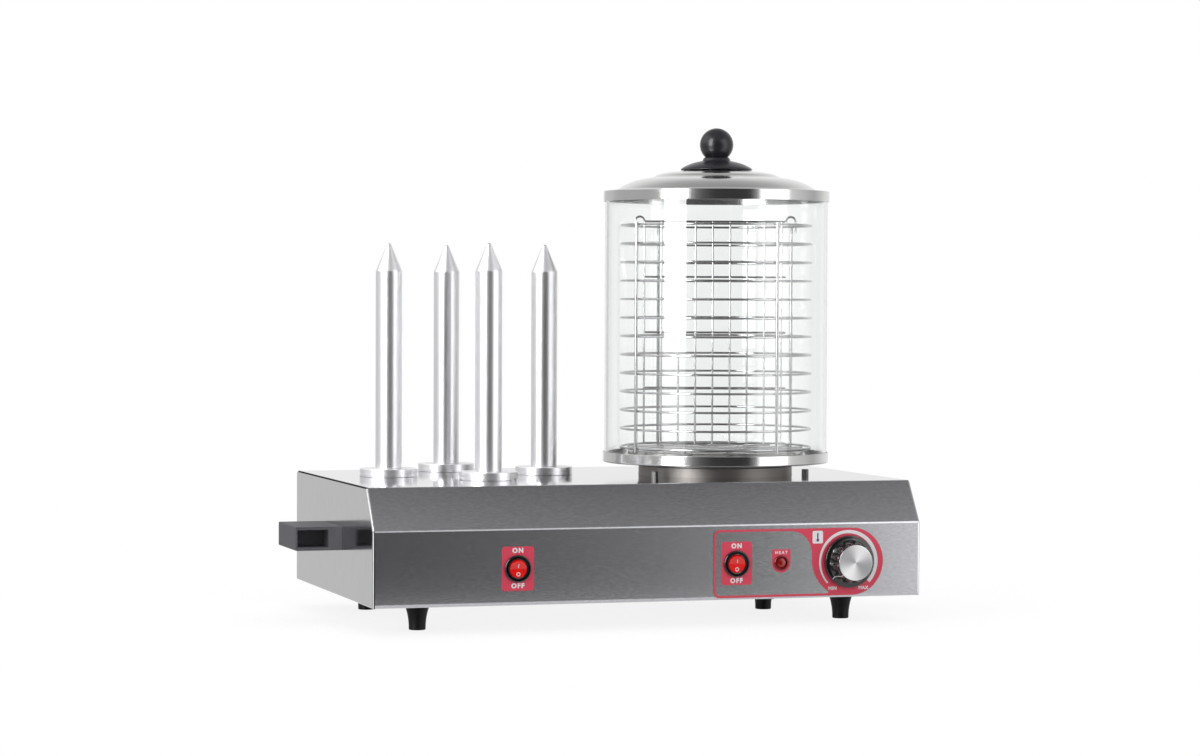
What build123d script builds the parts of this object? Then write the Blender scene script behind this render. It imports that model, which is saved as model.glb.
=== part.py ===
"""Hot dog toaster with four heated bun spikes and a steaming cylinder.

A folded steel housing on four rubber feet carries the spikes on the left and a water basin on the
right. The steam tray, glass cylinder, sausage basket, its divider and the lid stack on the basin and
lift off one after the other. Switches, lamp and thermostat sit in the front face.

Millimetres. +X right, -Y front, +Z up. The origin is on the floor under the middle of the housing.
"""

import os
from math import cos, radians, sin, sqrt, tan

from build123d import *

os.makedirs("parts", exist_ok=True)

# --- Housing: one folded sheet between two side panels
body_width = 488.0
body_depth = 295.0
body_height = 99.0
front_height = 64.0
slope_setback = 24.0
ground_gap = 23.5
sheet = 1.0
bend_radius = 2.0
lip_width = 15.0
seam_gap = 0.2
panel_flange = 12.0

# --- Base plate, its screws and vents
plate_screw_pitch = 180.0
vent_length = 42.0
vent_width = 4.0
vent_pitch = 12.0
vent_rows = 8
vent_bank_pitch = 64.0

# --- Rubber feet
foot_inset_x = 52.0
foot_inset_y = 55.0
middle_foot_x = 155.0
middle_foot_y = 3.0
foot_top_radius = 12.2
foot_sole_radius = 7.2
foot_flare_start = 2.0
foot_recess_radius = 4.3
foot_recess_depth = 14.0

# --- Handles
handle_reach = 41.0
handle_length = 70.0
handle_height = 20.4
handle_middle_z = 74.3
handle_middle_y = -2.5
handle_block = 12.3
handle_wall = 2.8
handle_outer_wall = 1.8
handle_pocket_depth = 24.0
handle_round = 1.2
handle_screw_pitch = 40.0
handle_screw_depth = 9.0

# --- Front controls, as heights and places across the front face
control_z = 54.5
spike_switch_x = -119.6
heater_switch_x = 74.5
lamp_x = 115.2
knob_x = 177.0
foil = 0.4
label_width = 28.0
label_height = 37.0
foil_round = 5.0
foil_left = 53.8
foil_height = 58.5
foil_right = 209.3

# --- Rocker switches
switch_bezel_radius = 11.5
switch_bezel_proud = 2.2
switch_barrel_radius = 9.8
switch_bore_radius = 8.3
switch_depth = 14.0
switch_floor = 2.0
rocker_radius = 8.0
rocker_pivot_depth = 1.0
rocker_face = 3.0
rocker_back = 3.0
rocker_angle = 20.0
trunnion_radius = 1.2
trunnion_reach = 9.3

# --- Indicator lamp
lamp_bezel_radius = 6.5
lamp_bezel_proud = 1.8
lamp_barrel_radius = 5.4
lamp_lens_radius = 4.5
lamp_depth = 14.0
lamp_dome = 1.4
lamp_bezel_slant = 20.0
lamp_dome_fullness = 0.65
lamp_nut_width = 15.0
lamp_nut_height = 3.0

# --- Thermostat, shaft and control knob
knob_radius = 22.5
knob_skirt = 3.5
knob_grip_radius = 18.6
knob_front_radius = 16.6
knob_flutes = 12
knob_flute_radius = 3.2
knob_flute_bite = 1.4
knob_reach = 17.6
knob_back_gap = 0.8
knob_recess_radius = 19.5
knob_recess_depth = 2.6
knob_hub_radius = 6.0
cap_radius = 14.5
cap_thickness = 1.6
cap_proud = 0.4
shaft_radius = 3.0
shaft_flat = 0.8
shaft_inner_end = 12.0
shaft_outer_end = 13.0
thermostat_width = 34.0
thermostat_height = 30.0
thermostat_depth = 24.0
bracket_width = 40.0
bracket_thickness = 1.5
thermostat_screw_pitch = 28.0
bulb_radius = 3.0
bulb_length = 60.0

# --- Heated bun spikes
spike_middle_x = -113.0
spike_middle_y = 40.0
spike_circle = 71.5
spike_radius = 11.7
spike_tip_radius = 1.6
spike_tip_height = 205.5
spike_cone = 24.0
spike_disc_radius = 25.5
spike_disc_height = 7.0
spike_stud_radius = 6.0
spike_nut_width = 18.0
spike_nut_height = 5.0
spike_thread_end = 2.0
heater_radius = 4.0
heater_top = 135.0
heater_tail = 12.0

# --- Water basin and what holds and heats it
cylinder_x = 110.0
cylinder_y = 8.0
collar_radius = 69.0
collar_height = 11.0
collar_bead = 1.6
basin_depth = 60.0
basin_sheet = 1.0
basin_corner = 8.0
basin_flange_radius = 90.0
gasket_radius = 78.0
gasket_thickness = 1.0
basin_bolt_radius = 82.0
basin_bolt_width = 5.5
basin_bolt_height = 5.5
basin_bolt_angle = 90.0
basin_bolt_count = 3
element_ring_radius = 44.0
element_tube_radius = 4.0
element_arc = 320.0
element_leg = 14.0
clamp_radius = 54.0
clamp_thickness = 1.5
clamp_stud_radius = 3.0
clamp_nut_width = 10.0
clamp_nut_height = 5.0
cutout_radius = 8.0
cutout_height = 7.0

# --- Steam tray and steam plate
tray_radius = 101.5
tray_height = 9.5
tray_sheet = 1.0
tray_corner = 1.5
spigot_radius = 66.5
spigot_depth = 6.0
tray_hole_radius = 5.0
tray_hole_circle = 46.0
tray_holes = 10
plate_top_radius = 79.0
plate_foot_radius = 85.0
plate_rise = 9.8
plate_hole_radius = 2.4
plate_holes = 20
plate_vents = 8
plate_vent_circle = 38.0

# --- Glass cylinder
glass_radius = 100.0
glass_wall = 3.0
glass_height = 241.0

# --- Sausage basket and its divider
wire_radius = 1.0
leg_radius = 1.5
wire_sides = 6
wire_facet = 180.0 / wire_sides
ring_radius = 85.5
ring_sides = 32
ring_count = 13
ring_pitch = 16.55
basket_turn = 18.0
basket_legs = 4
weld_sink = 0.3
floor_wire_pitch = 24.0
floor_wires = 7
divider_turn = 71.4
divider_offset = 49.5
divider_half = 65.3
divider_pitch = 15.8
divider_wires = 9
divider_bars = 5
divider_bar_pitch = 50.7
hook_radius = 4.4
hook_drop = 11.0

# --- Lid and its knob
lid_radius = 101.5
lid_sheet = 1.0
lid_skirt = 8.4
lid_edge_round = 1.2
dome_foot_radius = 87.0
dome_foot_rise = 2.9
dome_step_slope = 0.15
dome_step_radius = 58.0
dome_step_rise = 13.4
dome_step = 1.1
crown_radius = 28.0
crown_rise = 18.3
ball_radius = 15.0
ball_rise = 23.6
knob_neck_radius = 10.0
knob_collar_radius = 12.6
knob_collar_rise = 9.2
knob_collar_height = 2.8
lid_skirt_radius = 32.2
lid_skirt_edge = 1.0
knob_skirt_crown = 6.9
knob_boss_radius = 13.0
knob_boss_height = 0.8
lid_screw_depth = 16.0
lid_screw_head_radius = 5.4

# --- Cable gland and terminal block
gland_x = 180.0
gland_z = 55.0
gland_bore_radius = 4.25
gland_thread_radius = 8.0
gland_width = 19.0
gland_flange = 5.0
gland_reach = 18.0
gland_tail = 10.0
gland_taper = 6.0
gland_nut_height = 4.0
terminal_width = 46.0
terminal_depth = 20.0
terminal_height = 16.0
terminal_ways = 3
terminal_x = 150.0
terminal_y = 112.0

# --- Fasteners and fits
screw_radius = 1.95
screw_clearance = 0.25
thread_clearance = 0.05
running_clearance = 0.05
small_clearance = 0.1
free_clearance = 0.5
lift_clearance = 0.3
head_radius = 3.6
head_height = 2.4
nut_width = 7.0
nut_height = 3.2
small_screw_radius = 1.5
small_head_radius = 2.9
small_head_height = 1.8

# --- Places that follow from the sizes above
z_bottom = ground_gap
z_fold = z_bottom + front_height
z_top = z_bottom + body_height
y_front = -body_depth / 2
y_rear = body_depth / 2
x_side = body_width / 2
z_plate = z_bottom + sheet
z_floor = z_plate + sheet
foot_x = x_side - foot_inset_x
foot_y = y_rear - foot_inset_y
foot_places = {
    "front_left": (-foot_x, -foot_y),
    "front_right": (foot_x, -foot_y),
    "rear_left": (-foot_x, foot_y),
    "rear_right": (foot_x, foot_y),
    "middle": (middle_foot_x, middle_foot_y),
}
y_foil = y_front - foil
y_inside = y_front + sheet
z_under_top = z_top - sheet
z_disc_top = z_top + spike_disc_height
z_collar = z_top + collar_height
z_tray_floor = z_collar + tray_sheet
z_glass_top = z_tray_floor + glass_height
z_lid = z_glass_top + lid_sheet
z_flange = z_under_top - gasket_thickness - basin_sheet
z_basin = z_top - basin_depth
z_plate_top = z_tray_floor + plate_rise
z_first_ring = z_plate_top + lift_clearance + 3 * wire_radius - weld_sink
leg_circle = ring_radius + wire_radius + leg_radius - weld_sink
screw_hole_radius = screw_radius + screw_clearance
small_hole_radius = small_screw_radius + small_clearance
spike_places = {
    "right": (spike_middle_x + spike_circle, spike_middle_y),
    "rear": (spike_middle_x, spike_middle_y + spike_circle),
    "left": (spike_middle_x - spike_circle, spike_middle_y),
    "front": (spike_middle_x, spike_middle_y - spike_circle),
}

# --- Working planes: the front seen from the front, the rear seen from behind, and the level of the top
front_plane = Plane(origin=(0, y_front, 0), x_dir=(1, 0, 0), z_dir=(0, -1, 0))
rear_plane = Plane(origin=(0, y_rear, 0), x_dir=(-1, 0, 0), z_dir=(0, 1, 0))
right_plane = Plane(origin=(x_side, 0, 0), x_dir=(0, 1, 0), z_dir=(1, 0, 0))
top_plane = Plane.XY.offset(z_top)
cylinder_axis = Axis((cylinder_x, cylinder_y, 0), (0, 0, 1))


def upright(x, y):
    """Plane through a vertical axis: local x runs out from the axis and local y is the height."""
    return Plane(origin=(x, y, 0), x_dir=(1, 0, 0), z_dir=(0, -1, 0))


def behind(depth):
    """Plane parallel to the front face, a depth behind its outside."""
    return front_plane.offset(-depth)


def keep(node, name):
    """Labels a finished piece with its node's name and writes it."""
    node.part.label = name
    export_step(node.part, f"parts/{name}.step")


def rounded_sheet(points, radii, thickness, side):
    """Section of a sheet of even thickness that follows a rounded outline."""
    with BuildSketch() as section:
        with BuildLine():
            FilletPolyline(*points, radius=radii)
            offset(amount=thickness, side=side)
        make_face()
    return section.sketch


# ---------------------------------------------------------------- housing
with BuildSketch() as side_outline:
    with BuildLine():
        Polyline(
            (y_front, z_bottom),
            (y_front, z_fold),
            (y_front + slope_setback, z_top),
            (y_rear, z_top),
            (y_rear, z_bottom),
            close=True,
        )
    make_face()
    fillet(side_outline.vertices(), bend_radius)

wrap_half = x_side - sheet
with BuildPart() as housing_wrap:
    with BuildSketch(Plane.YZ.offset(-wrap_half)):
        add(side_outline.sketch)
        with BuildSketch(mode=Mode.SUBTRACT):
            add(side_outline.sketch)
            offset(amount=-sheet)
        with Locations((0, z_bottom)):
            Rectangle(body_depth - 2 * lip_width, 2 * sheet + seam_gap, mode=Mode.SUBTRACT)
    extrude(amount=2 * wrap_half)
    with BuildSketch(front_plane):
        with Locations((spike_switch_x, control_z), (heater_switch_x, control_z)):
            Circle(switch_barrel_radius + screw_clearance)
        with Locations((lamp_x, control_z)):
            Circle(lamp_barrel_radius + screw_clearance)
        with Locations((knob_x, control_z)):
            Circle(shaft_radius + free_clearance)
            with GridLocations(thermostat_screw_pitch, 0, 2, 1):
                Circle(small_hole_radius)
    extrude(amount=-2 * sheet, mode=Mode.SUBTRACT)
    with BuildSketch(rear_plane):
        with Locations((-gland_x, gland_z)):
            Circle(gland_thread_radius + screw_clearance)
    extrude(amount=-2 * sheet, mode=Mode.SUBTRACT)
    with BuildSketch(top_plane):
        with Locations((cylinder_x, cylinder_y)):
            Circle(collar_radius + free_clearance)
            with PolarLocations(basin_bolt_radius, basin_bolt_count, start_angle=basin_bolt_angle):
                Circle(screw_hole_radius)
        with Locations(*spike_places.values()):
            Circle(spike_stud_radius + screw_clearance)
    extrude(amount=-2 * sheet, mode=Mode.SUBTRACT)
    with BuildSketch(Plane.XY.offset(z_bottom)):
        with GridLocations(plate_screw_pitch, body_depth - lip_width, 3, 2):
            Circle(small_hole_radius)
    extrude(amount=2 * sheet, mode=Mode.SUBTRACT)
keep(housing_wrap, "housing_wrap")

with BuildPart() as right_side_panel:
    with BuildSketch(Plane.YZ.offset(x_side - sheet)):
        add(side_outline.sketch)
    extrude(amount=sheet)
    with BuildSketch(Plane.YZ.offset(x_side - sheet - panel_flange)):
        with BuildSketch():
            add(side_outline.sketch)
            offset(amount=-(sheet + seam_gap))
        with BuildSketch(mode=Mode.SUBTRACT):
            add(side_outline.sketch)
            offset(amount=-(2 * sheet + seam_gap))
        with Locations((0, z_bottom)):
            Rectangle(body_depth, 2 * (2 * sheet + seam_gap), mode=Mode.SUBTRACT)
    extrude(amount=panel_flange)
    with BuildSketch(right_plane):
        with Locations((handle_middle_y, handle_middle_z)):
            with GridLocations(handle_screw_pitch, 0, 2, 1):
                Circle(screw_hole_radius)
    extrude(amount=-2 * sheet, mode=Mode.SUBTRACT)
keep(right_side_panel, "right_side_panel")

with BuildPart() as left_side_panel:
    add(mirror(right_side_panel.part, about=Plane.YZ))
keep(left_side_panel, "left_side_panel")

with BuildPart() as base_plate:
    with BuildSketch(Plane.XY.offset(z_plate)):
        Rectangle(
            2 * (x_side - sheet - seam_gap),
            body_depth - 2 * (bend_radius + seam_gap),
        )
        with Locations(*foot_places.values()):
            Circle(screw_hole_radius, mode=Mode.SUBTRACT)
        with GridLocations(plate_screw_pitch, body_depth - lip_width, 3, 2):
            Circle(small_hole_radius, mode=Mode.SUBTRACT)
        with Locations((cylinder_x, cylinder_y)):
            with GridLocations(vent_pitch, vent_bank_pitch, vent_rows, 2):
                SlotOverall(vent_length, vent_width, rotation=90, mode=Mode.SUBTRACT)
    extrude(amount=sheet)
keep(base_plate, "base_plate")

with BuildPart() as plate_screws:
    with GridLocations(plate_screw_pitch, body_depth - lip_width, 3, 2):
        with Locations((0, 0, z_bottom - small_head_height)):
            Cylinder(
                small_head_radius,
                small_head_height,
                align=(Align.CENTER, Align.CENTER, Align.MIN),
            )
        with Locations((0, 0, z_bottom)):
            Cylinder(
                small_screw_radius,
                3 * sheet,
                align=(Align.CENTER, Align.CENTER, Align.MIN),
            )
keep(plate_screws, "plate_screws")

# ---------------------------------------------------------------- feet
for place, (x, y) in foot_places.items():
    with BuildPart() as foot:
        with BuildSketch(upright(x, y)):
            with BuildLine():
                Polyline(
                    (0, z_plate),
                    (0, 0),
                    (foot_sole_radius - foil, 0),
                    (foot_sole_radius, foil),
                    (foot_sole_radius, foot_flare_start),
                )
                TangentArc(
                    (foot_sole_radius, foot_flare_start),
                    (foot_top_radius, z_plate),
                    tangent=(0, 1),
                )
                Line((foot_top_radius, z_plate), (0, z_plate))
            make_face()
        revolve(axis=Axis((x, y, 0), (0, 0, 1)))
        with Locations((x, y, 0)):
            Cylinder(
                foot_recess_radius,
                2 * foot_recess_depth,
                mode=Mode.SUBTRACT,
            )
            Cylinder(screw_hole_radius, 3 * z_plate, mode=Mode.SUBTRACT)
    keep(foot, f"{place}_foot")

with BuildPart() as foot_screws:
    for x, y in foot_places.values():
        with Locations((x, y, foot_recess_depth - head_height)):
            Cylinder(head_radius, head_height, align=(Align.CENTER, Align.CENTER, Align.MIN))
        with Locations((x, y, foot_recess_depth)):
            Cylinder(
                screw_radius,
                z_floor + nut_height + sheet - foot_recess_depth,
                align=(Align.CENTER, Align.CENTER, Align.MIN),
            )
keep(foot_screws, "foot_screws")

with BuildPart() as foot_nuts:
    with BuildSketch(Plane.XY.offset(z_floor)):
        with Locations(*foot_places.values()):
            RegularPolygon(nut_width / 2, 6, major_radius=False)
            Circle(screw_radius + thread_clearance, mode=Mode.SUBTRACT)
    extrude(amount=nut_height)
keep(foot_nuts, "foot_nuts")

# ---------------------------------------------------------------- handles
with BuildPart() as right_handle:
    with BuildSketch(Plane.XY.offset(handle_middle_z - handle_height / 2)):
        with Locations((x_side + handle_reach / 2, handle_middle_y)):
            Rectangle(handle_reach, handle_length)
    extrude(amount=handle_height)
    outer_edges = right_handle.faces().sort_by(Axis.X)[-1].edges()
    fillet(outer_edges, handle_round)
    pocket_width = handle_reach - handle_block - handle_outer_wall
    pocket_height = handle_height - 2 * handle_wall
    for end in (-1, 1):
        pocket_plane = Plane(
            origin=(0, handle_middle_y + end * handle_length / 2, 0),
            x_dir=(1, 0, 0),
            z_dir=(0, -1, 0),
        )
        with BuildSketch(pocket_plane):
            with Locations((x_side + handle_block + pocket_width / 2, handle_middle_z)):
                RectangleRounded(pocket_width, pocket_height, handle_round / 2)
        extrude(amount=end * handle_pocket_depth, mode=Mode.SUBTRACT)
    with BuildSketch(right_plane):
        with Locations((handle_middle_y, handle_middle_z)):
            with GridLocations(handle_screw_pitch, 0, 2, 1):
                Circle(screw_radius + thread_clearance)
    extrude(amount=handle_screw_depth, mode=Mode.SUBTRACT)
keep(right_handle, "right_handle")

with BuildPart() as left_handle:
    add(mirror(right_handle.part, about=Plane.YZ))
keep(left_handle, "left_handle")

with BuildPart() as handle_screws:
    inner_face = right_plane.offset(-sheet)
    with BuildSketch(inner_face):
        with Locations((handle_middle_y, handle_middle_z)):
            with GridLocations(handle_screw_pitch, 0, 2, 1):
                Circle(head_radius)
    extrude(amount=-head_height)
    with BuildSketch(inner_face):
        with Locations((handle_middle_y, handle_middle_z)):
            with GridLocations(handle_screw_pitch, 0, 2, 1):
                Circle(screw_radius)
    extrude(amount=sheet + handle_screw_depth - small_clearance)
    mirror(about=Plane.YZ)
keep(handle_screws, "handle_screws")

# ---------------------------------------------------------------- labels
with BuildPart() as switch_label:
    with BuildSketch(front_plane):
        with Locations((spike_switch_x, control_z)):
            RectangleRounded(label_width, label_height, foil_round / 2)
            Circle(switch_barrel_radius + screw_clearance, mode=Mode.SUBTRACT)
    extrude(amount=foil)
keep(switch_label, "switch_label")

with BuildPart() as control_foil:
    with BuildSketch(front_plane) as foil_shape:
        foil_end = foil_right - foil_height / 2
        with Locations((foil_left, control_z)):
            Rectangle(foil_end - foil_left, foil_height, align=(Align.MIN, Align.CENTER))
        fillet(foil_shape.vertices().group_by(Axis.X)[0], foil_round)
        with Locations((foil_end, control_z)):
            Circle(foil_height / 2)
        with Locations((heater_switch_x, control_z)):
            Circle(switch_barrel_radius + screw_clearance, mode=Mode.SUBTRACT)
        with Locations((lamp_x, control_z)):
            Circle(lamp_barrel_radius + screw_clearance, mode=Mode.SUBTRACT)
        with Locations((knob_x, control_z)):
            Circle(shaft_radius + free_clearance, mode=Mode.SUBTRACT)
            with GridLocations(thermostat_screw_pitch, 0, 2, 1):
                Circle(small_hole_radius, mode=Mode.SUBTRACT)
    extrude(amount=foil)
keep(control_foil, "control_foil")

# ---------------------------------------------------------------- rocker switches
y_pivot = y_front + rocker_pivot_depth
for name, x in (("spike_switch", spike_switch_x), ("heater_switch", heater_switch_x)):
    with BuildPart() as switch_body:
        with BuildSketch(front_plane.offset(foil)):
            with Locations((x, control_z)):
                Circle(switch_bezel_radius)
        extrude(amount=switch_bezel_proud)
        fillet(switch_body.faces().sort_by(Axis.Y)[0].edges(), switch_bezel_proud / 2)
        with BuildSketch(front_plane.offset(foil)):
            with Locations((x, control_z)):
                Circle(switch_barrel_radius)
        extrude(amount=-(foil + switch_depth))
        with BuildSketch(behind(switch_depth)):
            with Locations((x, control_z)):
                with GridLocations(0, rocker_radius, 1, 2):
                    Rectangle(2 * rocker_back, sheet)
        extrude(amount=-rocker_radius)
        with BuildSketch(front_plane.offset(foil + switch_bezel_proud)):
            with Locations((x, control_z)):
                Circle(switch_bore_radius)
        extrude(
            amount=-(foil + switch_bezel_proud + switch_depth - switch_floor),
            mode=Mode.SUBTRACT,
        )
        with Locations((x, y_pivot, control_z)):
            Cylinder(
                trunnion_radius + running_clearance,
                4 * switch_barrel_radius,
                rotation=(0, 90, 0),
                mode=Mode.SUBTRACT,
            )
    keep(switch_body, f"{name}_body")

    with BuildPart() as rocker:
        with BuildSketch(Plane.YZ.offset(x - rocker_radius)):
            with BuildLine():
                raised = rocker_face + rocker_radius * tan(radians(rocker_angle))
                Polyline(
                    (y_pivot + rocker_back, control_z - rocker_radius),
                    (y_pivot - rocker_face, control_z - rocker_radius),
                    (y_pivot - rocker_face, control_z),
                    (y_pivot - raised, control_z + rocker_radius),
                    (y_pivot + rocker_back, control_z + rocker_radius),
                    close=True,
                )
            make_face()
        extrude(amount=2 * rocker_radius)
        with Locations((x, y_pivot, control_z)):
            Sphere(rocker_radius, mode=Mode.INTERSECT)
            Cylinder(trunnion_radius, 2 * trunnion_reach, rotation=(0, 90, 0))
    keep(rocker, f"{name}_rocker")

# ---------------------------------------------------------------- indicator lamp
with BuildPart() as lamp_bezel:
    with BuildSketch(front_plane.offset(foil)):
        with Locations((lamp_x, control_z)):
            Circle(lamp_bezel_radius)
    extrude(amount=lamp_bezel_proud, taper=lamp_bezel_slant)
    with BuildSketch(front_plane.offset(foil)):
        with Locations((lamp_x, control_z)):
            Circle(lamp_barrel_radius)
    extrude(amount=-(foil + lamp_depth))
    with BuildSketch(front_plane.offset(foil + lamp_bezel_proud)):
        with Locations((lamp_x, control_z)):
            Circle(lamp_lens_radius + running_clearance)
    extrude(amount=-(foil + lamp_bezel_proud + lamp_depth), mode=Mode.SUBTRACT)
keep(lamp_bezel, "lamp_bezel")

with BuildPart() as lamp_lens:
    with BuildSketch(front_plane.offset(foil)):
        with Locations((lamp_x, control_z)):
            Circle(lamp_lens_radius)
    extrude(amount=-(foil + lamp_depth / 2))
    with BuildSketch(Plane(origin=(lamp_x, y_foil, control_z), x_dir=(1, 0, 0), z_dir=(0, 0, 1))):
        with BuildLine():
            Line((0, 0), (lamp_lens_radius, 0))
            Line((0, 0), (0, -lamp_dome))
            ThreePointArc(
                (0, -lamp_dome),
                (lamp_lens_radius * lamp_dome_fullness, -lamp_dome * lamp_dome_fullness),
                (lamp_lens_radius, 0),
            )
        make_face()
    revolve(axis=Axis((lamp_x, 0, control_z), (0, 1, 0)))
keep(lamp_lens, "lamp_lens")

with BuildPart() as lamp_nut:
    with BuildSketch(behind(sheet)):
        with Locations((lamp_x, control_z)):
            RegularPolygon(lamp_nut_width / 2, 6, major_radius=False)
            Circle(lamp_barrel_radius + thread_clearance, mode=Mode.SUBTRACT)
    extrude(amount=-lamp_nut_height)
keep(lamp_nut, "lamp_nut")

# ---------------------------------------------------------------- thermostat and knob
with BuildPart() as thermostat_body:
    with BuildSketch(behind(sheet)):
        with Locations((knob_x, control_z)):
            Rectangle(bracket_width, thermostat_height)
    extrude(amount=-bracket_thickness)
    with BuildSketch(behind(sheet + bracket_thickness)):
        with Locations((knob_x, control_z)):
            Rectangle(thermostat_width, thermostat_height)
    extrude(amount=-thermostat_depth)
    fillet(thermostat_body.faces().sort_by(Axis.Y)[-1].edges(), bend_radius)
    with BuildSketch(behind(sheet)):
        with Locations((knob_x, control_z)):
            Circle(shaft_radius + running_clearance)
            with GridLocations(thermostat_screw_pitch, 0, 2, 1):
                Circle(small_hole_radius)
    extrude(amount=-shaft_inner_end, mode=Mode.SUBTRACT)
keep(thermostat_body, "thermostat_body")

with BuildPart() as thermostat_screws:
    with BuildSketch(front_plane.offset(foil)):
        with Locations((knob_x, control_z)):
            with GridLocations(thermostat_screw_pitch, 0, 2, 1):
                Circle(small_head_radius)
    extrude(amount=small_head_height)
    with BuildSketch(front_plane.offset(foil)):
        with Locations((knob_x, control_z)):
            with GridLocations(thermostat_screw_pitch, 0, 2, 1):
                Circle(small_screw_radius)
    extrude(amount=-(foil + sheet + 3 * bracket_thickness))
keep(thermostat_screws, "thermostat_screws")

with BuildPart() as thermostat_shaft:
    with BuildSketch(behind(shaft_inner_end)):
        with Locations((knob_x, control_z)):
            Circle(shaft_radius)
    extrude(amount=shaft_inner_end + shaft_outer_end)
    with Locations((knob_x, y_front - shaft_outer_end, control_z + shaft_radius)):
        Box(
            2 * shaft_radius,
            2 * (shaft_outer_end - foil - knob_back_gap - knob_recess_depth),
            2 * shaft_flat,
            mode=Mode.SUBTRACT,
        )
keep(thermostat_shaft, "thermostat_shaft")

y_knob_back = y_foil - knob_back_gap
y_knob_front = y_front - knob_reach
knob_axis = Axis((knob_x, 0, control_z), (0, 1, 0))
with BuildPart() as control_knob:
    with BuildSketch(Plane(origin=(knob_x, 0, control_z), x_dir=(1, 0, 0), z_dir=(0, 0, 1))):
        with BuildLine():
            Polyline(
                (0, y_knob_back),
                (knob_hub_radius, y_knob_back),
                (knob_hub_radius, y_knob_back - knob_recess_depth),
                (knob_recess_radius, y_knob_back - knob_recess_depth),
                (knob_recess_radius, y_knob_back),
                (knob_radius, y_knob_back),
                (knob_radius, y_knob_back - knob_skirt),
                (knob_grip_radius, y_knob_back - knob_skirt - foil),
                (knob_front_radius, y_knob_front),
                (cap_radius + small_clearance, y_knob_front),
                (cap_radius + small_clearance, y_knob_front + cap_thickness - cap_proud),
                (0, y_knob_front + cap_thickness - cap_proud),
                close=True,
            )
        make_face()
    revolve(axis=knob_axis)
    with BuildSketch(Plane(origin=(knob_x, y_knob_back - knob_skirt, control_z), z_dir=(0, -1, 0))):
        with PolarLocations(knob_grip_radius + knob_flute_radius - knob_flute_bite, knob_flutes):
            Circle(knob_flute_radius)
    extrude(amount=knob_reach, mode=Mode.SUBTRACT)
    with BuildSketch(Plane(origin=(knob_x, y_knob_back, control_z), z_dir=(0, -1, 0))):
        Circle(shaft_radius + thread_clearance)
    extrude(amount=y_knob_back - y_front + shaft_outer_end + small_clearance, mode=Mode.SUBTRACT)
keep(control_knob, "control_knob")

with BuildPart() as knob_cap:
    with BuildSketch(Plane(origin=(knob_x, y_knob_front - cap_proud, control_z), z_dir=(0, 1, 0))):
        Circle(cap_radius)
    extrude(amount=cap_thickness)
    chamfer(knob_cap.faces().sort_by(Axis.Y)[0].edges(), cap_proud / 2)
keep(knob_cap, "knob_cap")

# ---------------------------------------------------------------- bun spikes
for place, (x, y) in spike_places.items():
    spike_top = z_top + spike_tip_height
    with BuildPart() as spike:
        with BuildSketch(upright(x, y)):
            with BuildLine():
                Polyline(
                    (heater_radius + thread_clearance, z_under_top - spike_nut_height - spike_thread_end),
                    (spike_stud_radius, z_under_top - spike_nut_height - spike_thread_end),
                    (spike_stud_radius, z_disc_top),
                    (spike_radius, z_disc_top),
                    (spike_radius, spike_top - spike_cone),
                    (spike_tip_radius, spike_top),
                    (0, spike_top),
                    (0, z_top + heater_top + small_clearance),
                    (heater_radius + thread_clearance, z_top + heater_top + small_clearance),
                    close=True,
                )
            make_face()
        revolve(axis=Axis((x, y, 0), (0, 0, 1)))
    keep(spike, f"{place}_spike")

    with BuildPart() as spike_disc:
        with BuildSketch(top_plane):
            with Locations((x, y)):
                Circle(spike_disc_radius)
        extrude(amount=spike_disc_height)
        chamfer(spike_disc.edges(), foil)
        with BuildSketch(top_plane):
            with Locations((x, y)):
                Circle(spike_stud_radius + small_clearance)
        extrude(amount=spike_disc_height, mode=Mode.SUBTRACT)
    keep(spike_disc, f"{place}_spike_disc")

with BuildPart() as spike_nuts:
    with BuildSketch(Plane.XY.offset(z_under_top)):
        with Locations(*spike_places.values()):
            RegularPolygon(spike_nut_width / 2, 6, major_radius=False)
            Circle(spike_stud_radius + thread_clearance, mode=Mode.SUBTRACT)
    extrude(amount=-spike_nut_height)
keep(spike_nuts, "spike_nuts")

with BuildPart() as spike_heaters:
    with BuildSketch(Plane.XY.offset(z_top + heater_top)):
        with Locations(*spike_places.values()):
            Circle(heater_radius)
    extrude(amount=-(heater_top + spike_nut_height + heater_tail))
keep(spike_heaters, "spike_heaters")

# ---------------------------------------------------------------- water basin
with BuildPart() as water_basin:
    with BuildSketch(upright(cylinder_x, cylinder_y)):
        add(
            rounded_sheet(
                [(0, z_basin), (collar_radius, z_basin), (collar_radius, z_collar)],
                [basin_corner],
                basin_sheet,
                Side.LEFT,
            )
        )
        with Locations((collar_radius - basin_sheet, z_flange)):
            Rectangle(
                basin_flange_radius - collar_radius + basin_sheet,
                basin_sheet,
                align=(Align.MIN, Align.MIN),
            )
        with Locations((collar_radius, z_collar - collar_bead)):
            Circle(collar_bead)
    revolve(axis=cylinder_axis)
    with BuildSketch(Plane.XY.offset(z_flange)):
        with Locations((cylinder_x, cylinder_y)):
            with PolarLocations(basin_bolt_radius, basin_bolt_count, start_angle=basin_bolt_angle):
                Circle(screw_hole_radius)
    extrude(amount=basin_sheet, mode=Mode.SUBTRACT)
    with BuildSketch(Plane.XY.offset(z_basin)):
        with Locations((cylinder_x, cylinder_y)):
            Circle(clamp_stud_radius)
    extrude(amount=-(2 * element_tube_radius + clamp_thickness + clamp_nut_height + sheet))
keep(water_basin, "water_basin")

with BuildPart() as basin_gasket:
    with BuildSketch(Plane.XY.offset(z_flange + basin_sheet)):
        with Locations((cylinder_x, cylinder_y)):
            Circle(gasket_radius)
            Circle(collar_radius + free_clearance, mode=Mode.SUBTRACT)
    extrude(amount=gasket_thickness)
keep(basin_gasket, "basin_gasket")

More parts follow.
